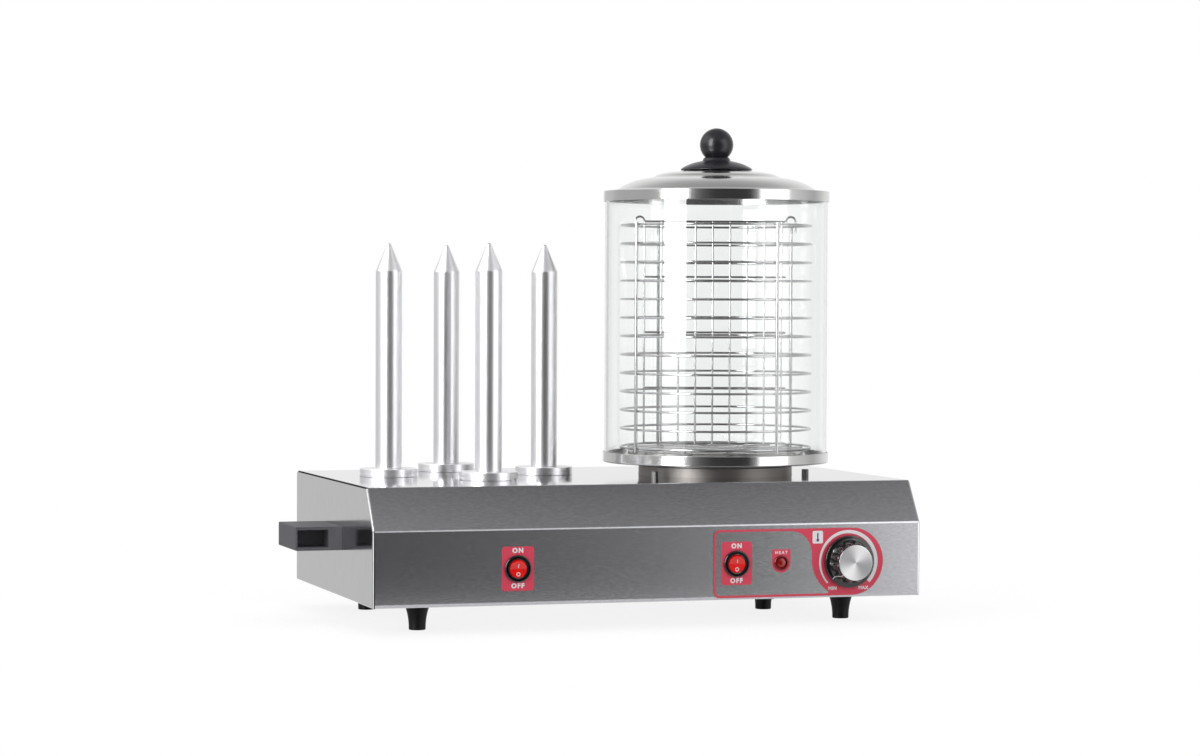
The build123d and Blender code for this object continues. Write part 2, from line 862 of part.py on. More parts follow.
with BuildPart() as basin_bolts:
    with BuildSketch(top_plane):
        with Locations((cylinder_x, cylinder_y)):
            with PolarLocations(basin_bolt_radius, basin_bolt_count, start_angle=basin_bolt_angle):
                RegularPolygon(basin_bolt_width / 2, 6, major_radius=False)
    extrude(amount=basin_bolt_height)
    with BuildSketch(top_plane):
        with Locations((cylinder_x, cylinder_y)):
            with PolarLocations(basin_bolt_radius, basin_bolt_count, start_angle=basin_bolt_angle):
                Circle(screw_radius)
    extrude(amount=-(z_top - z_flange + nut_height + sheet))
keep(basin_bolts, "basin_bolts")

with BuildPart() as basin_nuts:
    with BuildSketch(Plane.XY.offset(z_flange)):
        with Locations((cylinder_x, cylinder_y)):
            with PolarLocations(basin_bolt_radius, basin_bolt_count, start_angle=basin_bolt_angle):
                RegularPolygon(nut_width / 2, 6, major_radius=False)
                Circle(screw_radius + thread_clearance, mode=Mode.SUBTRACT)
    extrude(amount=-nut_height)
keep(basin_nuts, "basin_nuts")

z_element = z_basin - element_tube_radius
z_clamp = z_element - element_tube_radius
leg_angle = (360 - element_arc) / 2
element_ends = [
    (
        cylinder_x + element_ring_radius * cos(radians(angle)),
        cylinder_y + element_ring_radius * sin(radians(angle)),
    )
    for angle in (leg_angle, -leg_angle)
]
with BuildPart() as heating_element:
    with BuildSketch(
        Plane(
            origin=(cylinder_x, cylinder_y, 0),
            x_dir=(cos(radians(leg_angle)), sin(radians(leg_angle)), 0),
            z_dir=(sin(radians(leg_angle)), -cos(radians(leg_angle)), 0),
        )
    ):
        with Locations((element_ring_radius, z_element)):
            Circle(element_tube_radius)
    revolve(axis=cylinder_axis, revolution_arc=element_arc)
    with BuildSketch(Plane.XY.offset(z_element)):
        with Locations(*element_ends):
            Circle(element_tube_radius)
    extrude(amount=-element_leg)
    with Locations(*[(x, y, z_element) for x, y in element_ends]):
        Sphere(element_tube_radius)
    with BuildSketch(Plane.XY.offset(z_element - element_leg)):
        with Locations(*element_ends):
            Circle(screw_radius)
    extrude(amount=-2 * head_height)
keep(heating_element, "heating_element")

with BuildPart() as element_clamp:
    with BuildSketch(Plane.XY.offset(z_clamp)):
        with Locations((cylinder_x, cylinder_y)):
            Circle(clamp_radius)
            Circle(clamp_stud_radius + small_clearance, mode=Mode.SUBTRACT)
        with Locations((cylinder_x + clamp_radius, cylinder_y)):
            Rectangle(
                2 * (clamp_radius - element_ring_radius * cos(radians(leg_angle)) + 2 * element_tube_radius),
                2 * (element_ring_radius * sin(radians(leg_angle)) + 2 * element_tube_radius),
                mode=Mode.SUBTRACT,
            )
    extrude(amount=-clamp_thickness)
keep(element_clamp, "element_clamp")

with BuildPart() as clamp_nut:
    with BuildSketch(Plane.XY.offset(z_clamp - clamp_thickness)):
        with Locations((cylinder_x, cylinder_y)):
            RegularPolygon(clamp_nut_width / 2, 6, major_radius=False)
            Circle(clamp_stud_radius + thread_clearance, mode=Mode.SUBTRACT)
    extrude(amount=-clamp_nut_height)
keep(clamp_nut, "clamp_nut")

with BuildPart() as thermal_cutout:
    with BuildSketch(Plane.XY.offset(z_clamp - clamp_thickness)):
        with Locations((cylinder_x - element_ring_radius / 2, cylinder_y)):
            Circle(cutout_radius)
    extrude(amount=-cutout_height)
    with BuildSketch(Plane.XY.offset(z_clamp - clamp_thickness - cutout_height)):
        with Locations((cylinder_x - element_ring_radius / 2, cylinder_y)):
            with GridLocations(0, cutout_radius, 1, 2):
                Rectangle(nut_width, sheet)
    extrude(amount=-cutout_height)
keep(thermal_cutout, "thermal_cutout")

# The sensing bulb lies against the basin's bottom inside the element's ring.
z_bulb = z_basin - bulb_radius
bulb_y = cylinder_y - element_ring_radius / 2
with BuildPart() as thermostat_bulb:
    with BuildSketch(Plane.YZ.offset(cylinder_x - bulb_length / 2)):
        with Locations((bulb_y, z_bulb)):
            Circle(bulb_radius)
    extrude(amount=bulb_length)
keep(thermostat_bulb, "thermostat_bulb")

# ---------------------------------------------------------------- steam tray and plate
with BuildPart() as steam_tray:
    with BuildSketch(upright(cylinder_x, cylinder_y)):
        add(
            rounded_sheet(
                [(0, z_collar), (tray_radius, z_collar), (tray_radius, z_collar + tray_height)],
                [tray_corner],
                tray_sheet,
                Side.LEFT,
            )
        )
        with Locations((spigot_radius, z_collar - spigot_depth)):
            Rectangle(tray_sheet, spigot_depth + tray_sheet / 2, align=(Align.MAX, Align.MIN))
    revolve(axis=cylinder_axis)
    with BuildSketch(Plane.XY.offset(z_collar)):
        with Locations((cylinder_x, cylinder_y)):
            Circle(2 * tray_hole_radius)
            with PolarLocations(tray_hole_circle, tray_holes):
                Circle(tray_hole_radius)
    extrude(amount=tray_sheet, mode=Mode.SUBTRACT)
keep(steam_tray, "steam_tray")

with BuildPart() as steam_plate:
    with BuildSketch(upright(cylinder_x, cylinder_y)):
        add(
            rounded_sheet(
                [(0, z_plate_top), (plate_top_radius, z_plate_top), (plate_foot_radius, z_tray_floor)],
                [tray_corner],
                tray_sheet,
                Side.RIGHT,
            )
        )
        with Locations((0, z_tray_floor)):
            Rectangle(
                2 * plate_foot_radius,
                2 * tray_sheet,
                align=(Align.MIN, Align.MAX),
                mode=Mode.SUBTRACT,
            )
    revolve(axis=cylinder_axis)
    with BuildSketch(Plane.XY.offset(z_plate_top)):
        with Locations((cylinder_x, cylinder_y)):
            with PolarLocations(plate_vent_circle, plate_vents):
                Circle(plate_hole_radius)
    extrude(amount=-2 * tray_sheet, mode=Mode.SUBTRACT)
    with Locations((cylinder_x, cylinder_y, z_tray_floor + plate_rise / 2)):
        with PolarLocations(plate_foot_radius, plate_holes):
            Cylinder(
                plate_hole_radius,
                4 * plate_hole_radius,
                rotation=(0, 90, 0),
                mode=Mode.SUBTRACT,
            )
keep(steam_plate, "steam_plate")

# ---------------------------------------------------------------- glass cylinder
with BuildPart() as glass_cylinder:
    with BuildSketch(Plane.XY.offset(z_tray_floor)):
        with Locations((cylinder_x, cylinder_y)):
            Circle(glass_radius)
            Circle(glass_radius - glass_wall, mode=Mode.SUBTRACT)
    extrude(amount=glass_height)
    chamfer(glass_cylinder.edges(), foil)
keep(glass_cylinder, "glass_cylinder")

# ---------------------------------------------------------------- sausage basket
ring_heights = [z_first_ring + index * ring_pitch for index in range(ring_count)]
with BuildPart() as wire_ring:
    with BuildSketch():
        RegularPolygon(ring_radius + wire_radius, ring_sides)
        RegularPolygon(ring_radius - wire_radius, ring_sides, mode=Mode.SUBTRACT)
    extrude(amount=wire_radius, both=True, taper=wire_facet)

with BuildPart() as basket:
    with Locations(*[(cylinder_x, cylinder_y, z) for z in ring_heights]):
        add(wire_ring.part, rotation=(0, 0, basket_turn))
    with BuildSketch(Plane.XY.offset(z_tray_floor)):
        with Locations((cylinder_x, cylinder_y)):
            with PolarLocations(leg_circle, basket_legs, start_angle=basket_turn):
                RegularPolygon(leg_radius, wire_sides, rotation=wire_facet)
    extrude(amount=ring_heights[-1] + 2 * wire_radius - z_tray_floor)
    z_floor_wire = z_first_ring - 2 * wire_radius + weld_sink
    floor_span = (floor_wires - 1) / 2
    for index in range(floor_wires):
        across = (index - floor_span) * floor_wire_pitch
        reach = sqrt(ring_radius**2 - across**2)
        wire_plane = Plane(
            origin=(cylinder_x, cylinder_y, z_floor_wire),
            x_dir=(-sin(radians(basket_turn)), cos(radians(basket_turn)), 0),
            z_dir=(cos(radians(basket_turn)), sin(radians(basket_turn)), 0),
        ).offset(-reach)
        with BuildSketch(wire_plane):
            with Locations((across, 0)):
                RegularPolygon(wire_radius, wire_sides)
        extrude(amount=2 * reach)
keep(basket, "basket")

# ---------------------------------------------------------------- basket divider
divider_plane = Plane(
    origin=(
        cylinder_x + divider_offset * cos(radians(divider_turn)),
        cylinder_y + divider_offset * sin(radians(divider_turn)),
        0,
    ),
    x_dir=(sin(radians(divider_turn)), -cos(radians(divider_turn)), 0),
    z_dir=(-cos(radians(divider_turn)), -sin(radians(divider_turn)), 0),
)
z_divider_foot = z_floor_wire + wire_radius + lift_clearance
z_divider_top = z_divider_foot + wire_radius + (divider_bars - 1) * divider_bar_pitch
with BuildSketch() as wire_section:
    RegularPolygon(wire_radius, wire_sides)

with BuildPart() as basket_divider:
    with BuildSketch(
        Plane(
            origin=divider_plane.from_local_coords((0, z_divider_foot, 0)),
            x_dir=divider_plane.x_dir,
            z_dir=(0, 0, 1),
        )
    ):
        with Locations(*[(index * divider_pitch - divider_half, 0) for index in range(divider_wires)]):
            add(wire_section.sketch)
    extrude(amount=z_divider_top - z_divider_foot)
    bar_plane = Plane(
        origin=divider_plane.from_local_coords((-divider_half, 0, weld_sink - 2 * wire_radius)),
        x_dir=(0, 0, 1),
        z_dir=divider_plane.x_dir,
    )
    with BuildSketch(bar_plane):
        bar_heights = [z_divider_foot + wire_radius + i * divider_bar_pitch for i in range(divider_bars)]
        with Locations(*[(z, 0) for z in bar_heights]):
            add(wire_section.sketch)
    extrude(amount=2 * divider_half)
    for end in (-1, 1):
        with BuildLine(divider_plane) as hook_path:
            hook_outer = end * (divider_half + 2 * hook_radius)
            Line((end * divider_half, z_divider_top - wire_radius), (end * divider_half, z_divider_top))
            ThreePointArc(
                (end * divider_half, z_divider_top),
                (end * (divider_half + hook_radius), z_divider_top + hook_radius),
                (hook_outer, z_divider_top),
            )
            Line((hook_outer, z_divider_top), (hook_outer, z_divider_top - hook_drop))
        with BuildSketch(Plane(hook_path.line @ 0, z_dir=hook_path.line % 0)):
            add(wire_section.sketch)
        sweep(path=hook_path.line)
keep(basket_divider, "basket_divider")

# ---------------------------------------------------------------- lid
z_crown = z_lid + crown_rise
with BuildPart() as lid:
    with BuildSketch(upright(cylinder_x, cylinder_y)):
        with BuildLine() as lid_line:
            Line((0, z_crown), (crown_radius, z_crown))
            crown_arc = TangentArc(
                (crown_radius, z_crown),
                (dome_step_radius - dome_step, z_lid + dome_step_rise + dome_step),
                tangent=(1, 0),
            )
            Line(crown_arc @ 1, (dome_step_radius, z_lid + dome_step_rise))
            dome_arc = TangentArc(
                (dome_step_radius, z_lid + dome_step_rise),
                (dome_foot_radius, z_lid + dome_foot_rise),
                tangent=(1, -dome_step_slope),
            )
            FilletPolyline(
                dome_arc @ 1,
                (dome_foot_radius + dome_foot_rise, z_lid),
                (lid_radius, z_lid),
                (lid_radius, z_lid - lid_sheet - lid_skirt),
                radius=[dome_step, lid_edge_round],
            )
            offset(amount=lid_sheet, side=Side.RIGHT)
        make_face()
    revolve(axis=cylinder_axis)
    with BuildSketch(Plane.XY.offset(z_crown)):
        with Locations((cylinder_x, cylinder_y)):
            Circle(screw_hole_radius)
    extrude(amount=-2 * lid_sheet, mode=Mode.SUBTRACT)
keep(lid, "lid")

z_ball = z_crown + ball_rise
z_collar_base = z_crown + knob_collar_rise
neck_drop = sqrt(ball_radius**2 - knob_neck_radius**2)
with BuildPart() as lid_knob:
    with BuildSketch(upright(cylinder_x, cylinder_y)):
        with BuildLine():
            Polyline(
                (0, z_ball + ball_radius),
                (0, z_crown),
                (knob_boss_radius, z_crown),
                (knob_boss_radius, z_crown + knob_boss_height),
                (lid_skirt_radius, z_crown + knob_boss_height),
                (lid_skirt_radius, z_crown + knob_boss_height + lid_skirt_edge),
            )
            ThreePointArc(
                (lid_skirt_radius, z_crown + knob_boss_height + lid_skirt_edge),
                (
                    (lid_skirt_radius + knob_collar_radius) / 2,
                    z_crown + knob_skirt_crown,
                ),
                (knob_collar_radius, z_collar_base),
            )
            Polyline(
                (knob_collar_radius, z_collar_base),
                (knob_collar_radius - 2 * foil, z_collar_base + knob_collar_height),
                (knob_neck_radius, z_ball - neck_drop),
            )
            ThreePointArc(
                (knob_neck_radius, z_ball - neck_drop),
                (ball_radius, z_ball),
                (0, z_ball + ball_radius),
            )
        make_face()
    revolve(axis=cylinder_axis)
    with BuildSketch(Plane.XY.offset(z_crown)):
        with Locations((cylinder_x, cylinder_y)):
            Circle(screw_radius + thread_clearance)
    extrude(amount=lid_screw_depth, mode=Mode.SUBTRACT)
keep(lid_knob, "lid_knob")

with BuildPart() as lid_screw:
    with BuildSketch(Plane.XY.offset(z_crown - lid_sheet)):
        with Locations((cylinder_x, cylinder_y)):
            Circle(lid_screw_head_radius)
    extrude(amount=-head_height)
    fillet(lid_screw.faces().sort_by(Axis.Z)[0].edges(), head_height / 2)
    with BuildSketch(Plane.XY.offset(z_crown - lid_sheet)):
        with Locations((cylinder_x, cylinder_y)):
            Circle(screw_radius)
    extrude(amount=lid_sheet + lid_screw_depth - small_clearance)
keep(lid_screw, "lid_screw")

# ---------------------------------------------------------------- cable gland and terminals
with BuildPart() as cable_gland:
    with BuildSketch(rear_plane):
        with Locations((-gland_x, gland_z)):
            RegularPolygon(gland_width / 2, 6, major_radius=False)
    extrude(amount=gland_flange)
    with BuildSketch(rear_plane.offset(gland_flange)):
        with Locations((-gland_x, gland_z)):
            Circle(gland_thread_radius + screw_clearance)
    extrude(amount=gland_reach - gland_flange, taper=gland_taper)
    with BuildSketch(rear_plane):
        with Locations((-gland_x, gland_z)):
            Circle(gland_thread_radius)
    extrude(amount=-gland_tail)
    with BuildSketch(rear_plane.offset(gland_reach)):
        with Locations((-gland_x, gland_z)):
            Circle(gland_bore_radius)
    extrude(amount=-(gland_reach + gland_tail), mode=Mode.SUBTRACT)
keep(cable_gland, "cable_gland")

with BuildPart() as gland_nut:
    with BuildSketch(rear_plane.offset(-sheet)):
        with Locations((-gland_x, gland_z)):
            RegularPolygon(gland_width / 2 + sheet, 6, major_radius=False)
            Circle(gland_thread_radius + thread_clearance, mode=Mode.SUBTRACT)
    extrude(amount=-gland_nut_height)
keep(gland_nut, "gland_nut")

with BuildPart() as terminal_block:
    with Locations((terminal_x, terminal_y, z_floor)):
        Box(
            terminal_width,
            terminal_depth,
            terminal_height,
            align=(Align.CENTER, Align.CENTER, Align.MIN),
        )
    way_pitch = terminal_width / terminal_ways
    with Locations((terminal_x, terminal_y, z_floor + terminal_height)):
        with GridLocations(way_pitch, terminal_depth / 2, terminal_ways, 2):
            Cylinder(head_radius, terminal_height, mode=Mode.SUBTRACT)
        with GridLocations(way_pitch, 0, terminal_ways - 1, 1):
            Box(sheet, 2 * terminal_depth, terminal_height / 2, mode=Mode.SUBTRACT)
keep(terminal_block, "terminal_block")
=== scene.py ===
"""Looks of the hot dog toaster: turned steel, wire, glass, moulded plastic and printed film.

Each sub-assembly is a class that models its own pieces in millimetres, places them in the frame of the
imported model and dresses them. The floor, the lamps and the camera come last.
"""

from __future__ import annotations

import logging
import math
from dataclasses import dataclass, field
from enum import Enum
from typing import Callable, Iterable, Sequence

import bpy
from mathutils import Matrix, Vector

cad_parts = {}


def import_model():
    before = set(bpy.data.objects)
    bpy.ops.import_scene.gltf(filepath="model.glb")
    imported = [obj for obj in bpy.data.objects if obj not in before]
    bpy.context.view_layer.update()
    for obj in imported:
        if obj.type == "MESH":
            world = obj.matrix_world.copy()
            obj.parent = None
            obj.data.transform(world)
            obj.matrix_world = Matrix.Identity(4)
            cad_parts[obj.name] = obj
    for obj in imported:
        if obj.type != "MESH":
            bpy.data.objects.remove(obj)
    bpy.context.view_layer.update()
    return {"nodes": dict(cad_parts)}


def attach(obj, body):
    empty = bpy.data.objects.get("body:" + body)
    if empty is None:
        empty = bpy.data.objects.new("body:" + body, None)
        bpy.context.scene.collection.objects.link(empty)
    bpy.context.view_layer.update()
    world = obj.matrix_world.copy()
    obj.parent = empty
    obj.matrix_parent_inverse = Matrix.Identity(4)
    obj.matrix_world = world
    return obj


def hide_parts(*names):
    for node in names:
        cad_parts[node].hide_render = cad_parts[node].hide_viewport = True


LOG = logging.getLogger("toaster")
MM = 0.001
CLOSE = 0.001  # millimetres within which two places are the same
TIP = 0.02  # radius in millimetres of a ring that stands for a point
Point = tuple[float, float]


# ------------------------------------------------------------------ shader maths
class Wire:
    """One output socket, with arithmetic that adds Math nodes."""

    def __init__(self, recipe: "Recipe", socket: bpy.types.NodeSocket) -> None:
        """Keeps the socket and the recipe that owns it.

        Args:
            recipe: The node tree under construction.
            socket: The output socket.
        """
        self.recipe = recipe
        self.socket = socket

    def _math(self, operation: str, *values: "Wire | float") -> "Wire":
        """Adds a Math node.

        Args:
            operation: The node's operation.
            values: Its inputs in order.

        Returns:
            The node's output.
        """
        inputs = dict(enumerate(values))
        return self.recipe.node("ShaderNodeMath", {"operation": operation}, inputs)

    def __add__(self, other: "Wire | float") -> "Wire":
        """Sum."""
        return self._math("ADD", self, other)

    __radd__ = __add__

    def __sub__(self, other: "Wire | float") -> "Wire":
        """Difference."""
        return self._math("SUBTRACT", self, other)

    def __rsub__(self, other: "Wire | float") -> "Wire":
        """Reflected difference, so that 1 - mask works."""
        return self._math("SUBTRACT", other, self)

    def __mul__(self, other: "Wire | float") -> "Wire":
        """Product."""
        return self._math("MULTIPLY", self, other)

    __rmul__ = __mul__

    def __truediv__(self, other: "Wire | float") -> "Wire":
        """Quotient."""
        return self._math("DIVIDE", self, other)

    def __pow__(self, other: "Wire | float") -> "Wire":
        """Power."""
        return self._math("POWER", self, other)

    def __gt__(self, other: "Wire | float") -> "Wire":
        """One where this is greater."""
        return self._math("GREATER_THAN", self, other)

    def cosine(self) -> "Wire":
        """Cosine of an angle in radians."""
        return self._math("COSINE", self)

    def angle_over(self, other: "Wire | float") -> "Wire":
        """Angle in radians whose sine goes as this and whose cosine goes as the other."""
        return self._math("ARCTAN2", self, other)

    def at_most(self, limit: "Wire | float") -> "Wire":
        """The smaller of the two."""
        return self._math("MINIMUM", self, limit)


class Recipe:
    """A node tree under construction, of a material or of the world."""

    def __init__(self, name: str, tree: bpy.types.NodeTree | None = None) -> None:
        """Starts with an empty tree.

        Args:
            name: Name of the material that is made when no tree is given.
            tree: The tree to fill instead.
        """
        if tree is None:
            self.material = bpy.data.materials.new(name)
            self.material.use_nodes = True
            tree = self.material.node_tree
        self.tree = tree
        self.tree.nodes.clear()

    def node(
        self,
        kind: str,
        settings: dict[str, object] | None = None,
        inputs: dict[int | str, object] | None = None,
        output: int | str = 0,
    ) -> Wire:
        """Adds any node.

        Args:
            kind: The node's type.
            settings: Its own settings, set first. A ramp's stops are given as "stops".
            inputs: Values or wires for its sockets, by name or number.
            output: The socket that is returned.

        Returns:
            The asked output.
        """
        made = self.tree.nodes.new(kind)
        for key, value in (settings or {}).items():
            if key == "stops":
                ramp = made.color_ramp
                while len(ramp.elements) < len(value):
                    ramp.elements.new(0.5)
                for element, (place, colour) in zip(ramp.elements, value):
                    element.position = place
                    element.color = (*colour, 1.0)
            else:
                setattr(made, key, value)
        for key, value in (inputs or {}).items():
            if isinstance(value, Wire):
                self.tree.links.new(value.socket, made.inputs[key])
            else:
                made.inputs[key].default_value = value
        return Wire(self, made.outputs[output])

    def place(self) -> Wire:
        """Object coordinates of the surface, in metres."""
        return self.node("ShaderNodeTexCoord", output="Object")

    def stretched(self, scale: Sequence[float]) -> Wire:
        """Object coordinates scaled along each axis.

        Args:
            scale: Factors along X, Y and Z.

        Returns:
            The scaled coordinates.
        """
        return self.node("ShaderNodeMapping", inputs={"Vector": self.place(), "Scale": tuple(scale)})

    def noise(self, scale: Sequence[float], detail: float = 3.0, roughness: float = 0.6) -> Wire:
        """Noise between 0 and 1.

        Args:
            scale: Features per metre along X, Y and Z.
            detail: Octaves.
            roughness: How strong the fine octaves are.

        Returns:
            The noise's value.
        """
        return self.node(
            "ShaderNodeTexNoise",
            inputs={
                "Vector": self.stretched(scale),
                "Scale": 1.0,
                "Detail": detail,
                "Roughness": roughness,
            },
        )

    def split(self, vector: Wire) -> tuple[Wire, Wire, Wire]:
        """Takes a vector apart.

        Args:
            vector: The vector.

        Returns:
            Its X, Y and Z.
        """
        first = self.node("ShaderNodeSeparateXYZ", inputs={0: vector})
        across, along, up = (Wire(self, socket) for socket in first.socket.node.outputs)
        return across, along, up

    def ramped(
        self,
        value: Wire,
        limits: Point,
        results: Point = (0.0, 1.0),
        kind: str = "LINEAR",
    ) -> Wire:
        """Number that runs between two results while a value runs between two limits.

        Args:
            value: The value.
            limits: The value's first and last limit.
            results: What comes out at those limits.
            kind: The interpolation.

        Returns:
            The number.
        """
        return self.node(
            "ShaderNodeMapRange",
            {"interpolation_type": kind},
            {
                "Value": value,
                "From Min": limits[0],
                "From Max": limits[1],
                "To Min": results[0],
                "To Max": results[1],
            },
        )

    def greys(self, value: Wire, stops: Sequence[Point]) -> Wire:
        """Grey that runs from stop to stop.

        Args:
            value: Place along the stops.
            stops: Place and brightness of each stop.

        Returns:
            The grey.
        """
        shades = [(place, (grey,) * 3) for place, grey in stops]
        return self.node("ShaderNodeValToRGB", {"stops": shades}, {0: value})

    def ray(self, kind: str) -> Wire:
        """What the light path says of a ray, by the name of its output."""
        return self.node("ShaderNodeLightPath", output=kind)

    def mixed(self, factor: Wire, first: Wire, second: Wire) -> Wire:
        """Mixes two shaders.

        Args:
            factor: Zero for the first, one for the second.
            first: First shader.
            second: Second shader.

        Returns:
            The mixed shader.
        """
        return self.node("ShaderNodeMixShader", inputs={0: factor, 1: first, 2: second})

    def blend(
        self,
        factor: Wire,
        low: Sequence[float] | Wire,
        high: Sequence[float] | Wire,
    ) -> Wire:
        """Colour between two colours.

        Args:
            factor: Zero for the low colour, one for the high one.
            low: First colour.
            high: Second colour.

        Returns:
            The mixed colour.
        """
        first, second = (colour if isinstance(colour, Wire) else (*colour, 1.0) for colour in (low, high))
        return self.node(
            "ShaderNodeMix",
            {"data_type": "RGBA", "clamp_factor": True},
            {0: factor, 6: first, 7: second},
            2,
        )

    def relief(self, height: Wire, depth: float, strength: float = 1.0) -> Wire:
        """Normal of a fine relief.

        Args:
            height: Relief between 0 and 1.
            depth: Its depth in metres.
            strength: How much of it shows.

        Returns:
            The bumped normal.
        """
        return self.node(
            "ShaderNodeBump",
            inputs={"Height": height, "Distance": depth, "Strength": strength},
        )

    def close(self, **sockets: object) -> bpy.types.Material:
        """Ends the tree in a Principled shader.

        Args:
            sockets: The shader's sockets, with underscores for spaces.

        Returns:
            The finished material.
        """
        inputs = {}
        for key, value in sockets.items():
            is_colour = isinstance(value, tuple) and len(value) == 3
            inputs[key.replace("_", " ")] = (*value, 1.0) if is_colour else value
        shader = self.node("ShaderNodeBsdfPrincipled", inputs=inputs)
        self.node_output(shader)
        return self.material

    def node_output(self, shader: Wire, kind: str = "ShaderNodeOutputMaterial") -> None:
        """Joins the shader to the tree's output.

        Args:
            shader: The finished shader.
            kind: The output node's type.
        """
        end = self.tree.nodes.new(kind)
        self.tree.links.new(shader.socket, end.inputs["Surface"])


# ------------------------------------------------------------------ finishes
class Grain(Enum):
    """Way in which a brushed surface runs."""

    ALONG_X = (230.0, 1050.0, 1050.0)
    ALONG_Z = (800.0, 800.0, 60.0)


@dataclass(frozen=True)
class BrushedSteel:
    """Stainless sheet with a fine directional grain and, where asked, painted shade that darkens the top of
    its slope.
    """

    name: str = "brushed_steel"
    colour: tuple[float, float, float] = (0.56, 0.56, 0.57)
    grain: Grain = Grain.ALONG_X
    roughness: float = 0.24
    depth: float = 0.00003
    contrast: float = 0.1
    polished_above: float = 10.0
    # strength of the painted shade that darkens the slope towards its top
    painted_slope_shade: float = 0.0
    slope: Point = (0.09, 0.1222)
    # colour of that painted shade
    shadow: tuple[float, float, float] = (0.05, 0.05, 0.055)
    crisp_range: Point = (0.34, 0.66)
    cloud_share: float = 0.15
    polish: float = 0.72

    def make(self) -> bpy.types.Material:
        """Builds the material; above the given height in metres it mirrors more sharply.

        Returns:
            The material; painted_slope_shade paints shade onto it, darker towards the top of its slope.
        """
        mix = Recipe(self.name)
        strands = mix.noise(self.grain.value, 3.0, 0.7)
        cloud = mix.noise((9.0, 9.0, 9.0), 2.0, 0.5)
        crisp = mix.ramped(strands, self.crisp_range)
        tone = crisp * (1.0 - self.cloud_share) + cloud * self.cloud_share
        darker = tuple((1.0 - self.contrast) * value for value in self.colour)
        lighter = tuple(min(1.0, (1.0 + self.contrast) * value) for value in self.colour)
        height = mix.split(mix.place())[2]
        sharp = height > self.polished_above
        # Painted shade: the colour darkens up the slope, standing in for the light falling off there
        painted_shade = mix.ramped(height, self.slope) * (1.0 - sharp) * self.painted_slope_shade
        return mix.close(
            Base_Color=mix.blend(painted_shade, mix.blend(tone, darker, lighter), self.shadow),
            Metallic=1.0,
            Roughness=(self.roughness - 0.03 + strands * 0.06) * (1.0 - sharp * self.polish),
            Normal=mix.relief(strands, self.depth, 0.25),
        )


@dataclass(frozen=True)
class PolishedSteel:
    """Spun or pressed stainless with faint rings of wear."""

    name: str = "polished_steel"
    colour: tuple[float, float, float] = (0.7, 0.695, 0.69)
    roughness: float = 0.13

    def make(self) -> bpy.types.Material:
        """Builds the material."""
        mix = Recipe(self.name)
        haze = mix.noise((35.0, 35.0, 35.0), 3.0, 0.6)
        fine = mix.noise((240.0, 240.0, 1800.0), 2.0, 0.5)
        darker = tuple(0.94 * value for value in self.colour)
        return mix.close(
            Base_Color=mix.blend(haze, darker, self.colour),
            Metallic=1.0,
            Roughness=self.roughness - 0.03 + haze * 0.05 + fine * 0.03,
            Normal=mix.relief(fine, 0.00001, 0.3),
        )


@dataclass(frozen=True)
class BrightWire:
    """Drawn and plated wire."""

    name: str = "bright_wire"
    colour: tuple[float, float, float] = (0.66, 0.65, 0.66)

    def make(self) -> bpy.types.Material:
        """Builds the material."""
        mix = Recipe(self.name)
        draw = mix.noise((150.0, 150.0, 150.0), 2.0, 0.5)
        darker = tuple(0.82 * value for value in self.colour)
        return mix.close(
            Base_Color=mix.blend(draw, darker, self.colour),
            Metallic=1.0,
            Roughness=0.08 + draw * 0.08,
            Normal=mix.relief(draw, 0.00005, 0.2),
        )


@dataclass(frozen=True)
class TurnedAluminium:
    """Turned and drawn aluminium with fine lengthwise brushing."""

    name: str = "turned_aluminium"
    colour: tuple[float, float, float] = (0.9, 0.9, 0.92)
    grain: Grain = Grain.ALONG_Z

    def make(self) -> bpy.types.Material:
        """Builds the material."""
        mix = Recipe(self.name)
        strands = mix.noise(self.grain.value, 3.0, 0.65)
        cloud = mix.noise((40.0, 40.0, 12.0), 2.0, 0.5)
        darker = tuple(0.93 * value for value in self.colour)
        return mix.close(
            Base_Color=mix.blend(strands * 0.5 + cloud * 0.5, darker, self.colour),
            Metallic=1.0,
            Roughness=0.3 + strands * 0.08,
            Normal=mix.relief(strands, 0.000004, 0.2),
        )


@dataclass(frozen=True)
class SpunCap:
    """Spun silver face with a painted sheen, bright and dim sectors that turn about its middle."""

    middle: tuple[float, float, float]
    name: str = "spun_cap_painted_sheen"
    painted_sheen_turn: float = 1.05
    # colours of the painted sheen's dim and bright sectors
    painted_sheen_dim: tuple[float, float, float] = (0.42, 0.42, 0.43)
    bright: tuple[float, float, float] = (0.98, 0.98, 0.99)

    def make(self) -> bpy.types.Material:
        """Builds the material, with its sheen painted into the colour."""
        mix = Recipe(self.name)
        centred = mix.node(
            "ShaderNodeMapping",
            inputs={"Vector": mix.place(), "Location": tuple(-value * MM for value in self.middle)},
        )
        across, _, upward = mix.split(centred)
        angle = upward.angle_over(across)
        # Painted sheen: the colour runs between bright and dim sectors by angle, fixed whatever the light
        painted_sheen_wedge = ((angle - self.painted_sheen_turn) * 2.0).cosine() * 0.5 + 0.5
        rings = mix.noise((5200.0, 40.0, 5200.0), 1.0, 0.4)
        sheen = mix.blend(painted_sheen_wedge**1.3, self.painted_sheen_dim, self.bright)
        return mix.close(
            Base_Color=sheen,
            Metallic=0.8,
            Roughness=0.3 + rings * 0.08,
            Normal=mix.relief(rings, 0.00001, 0.2),
        )


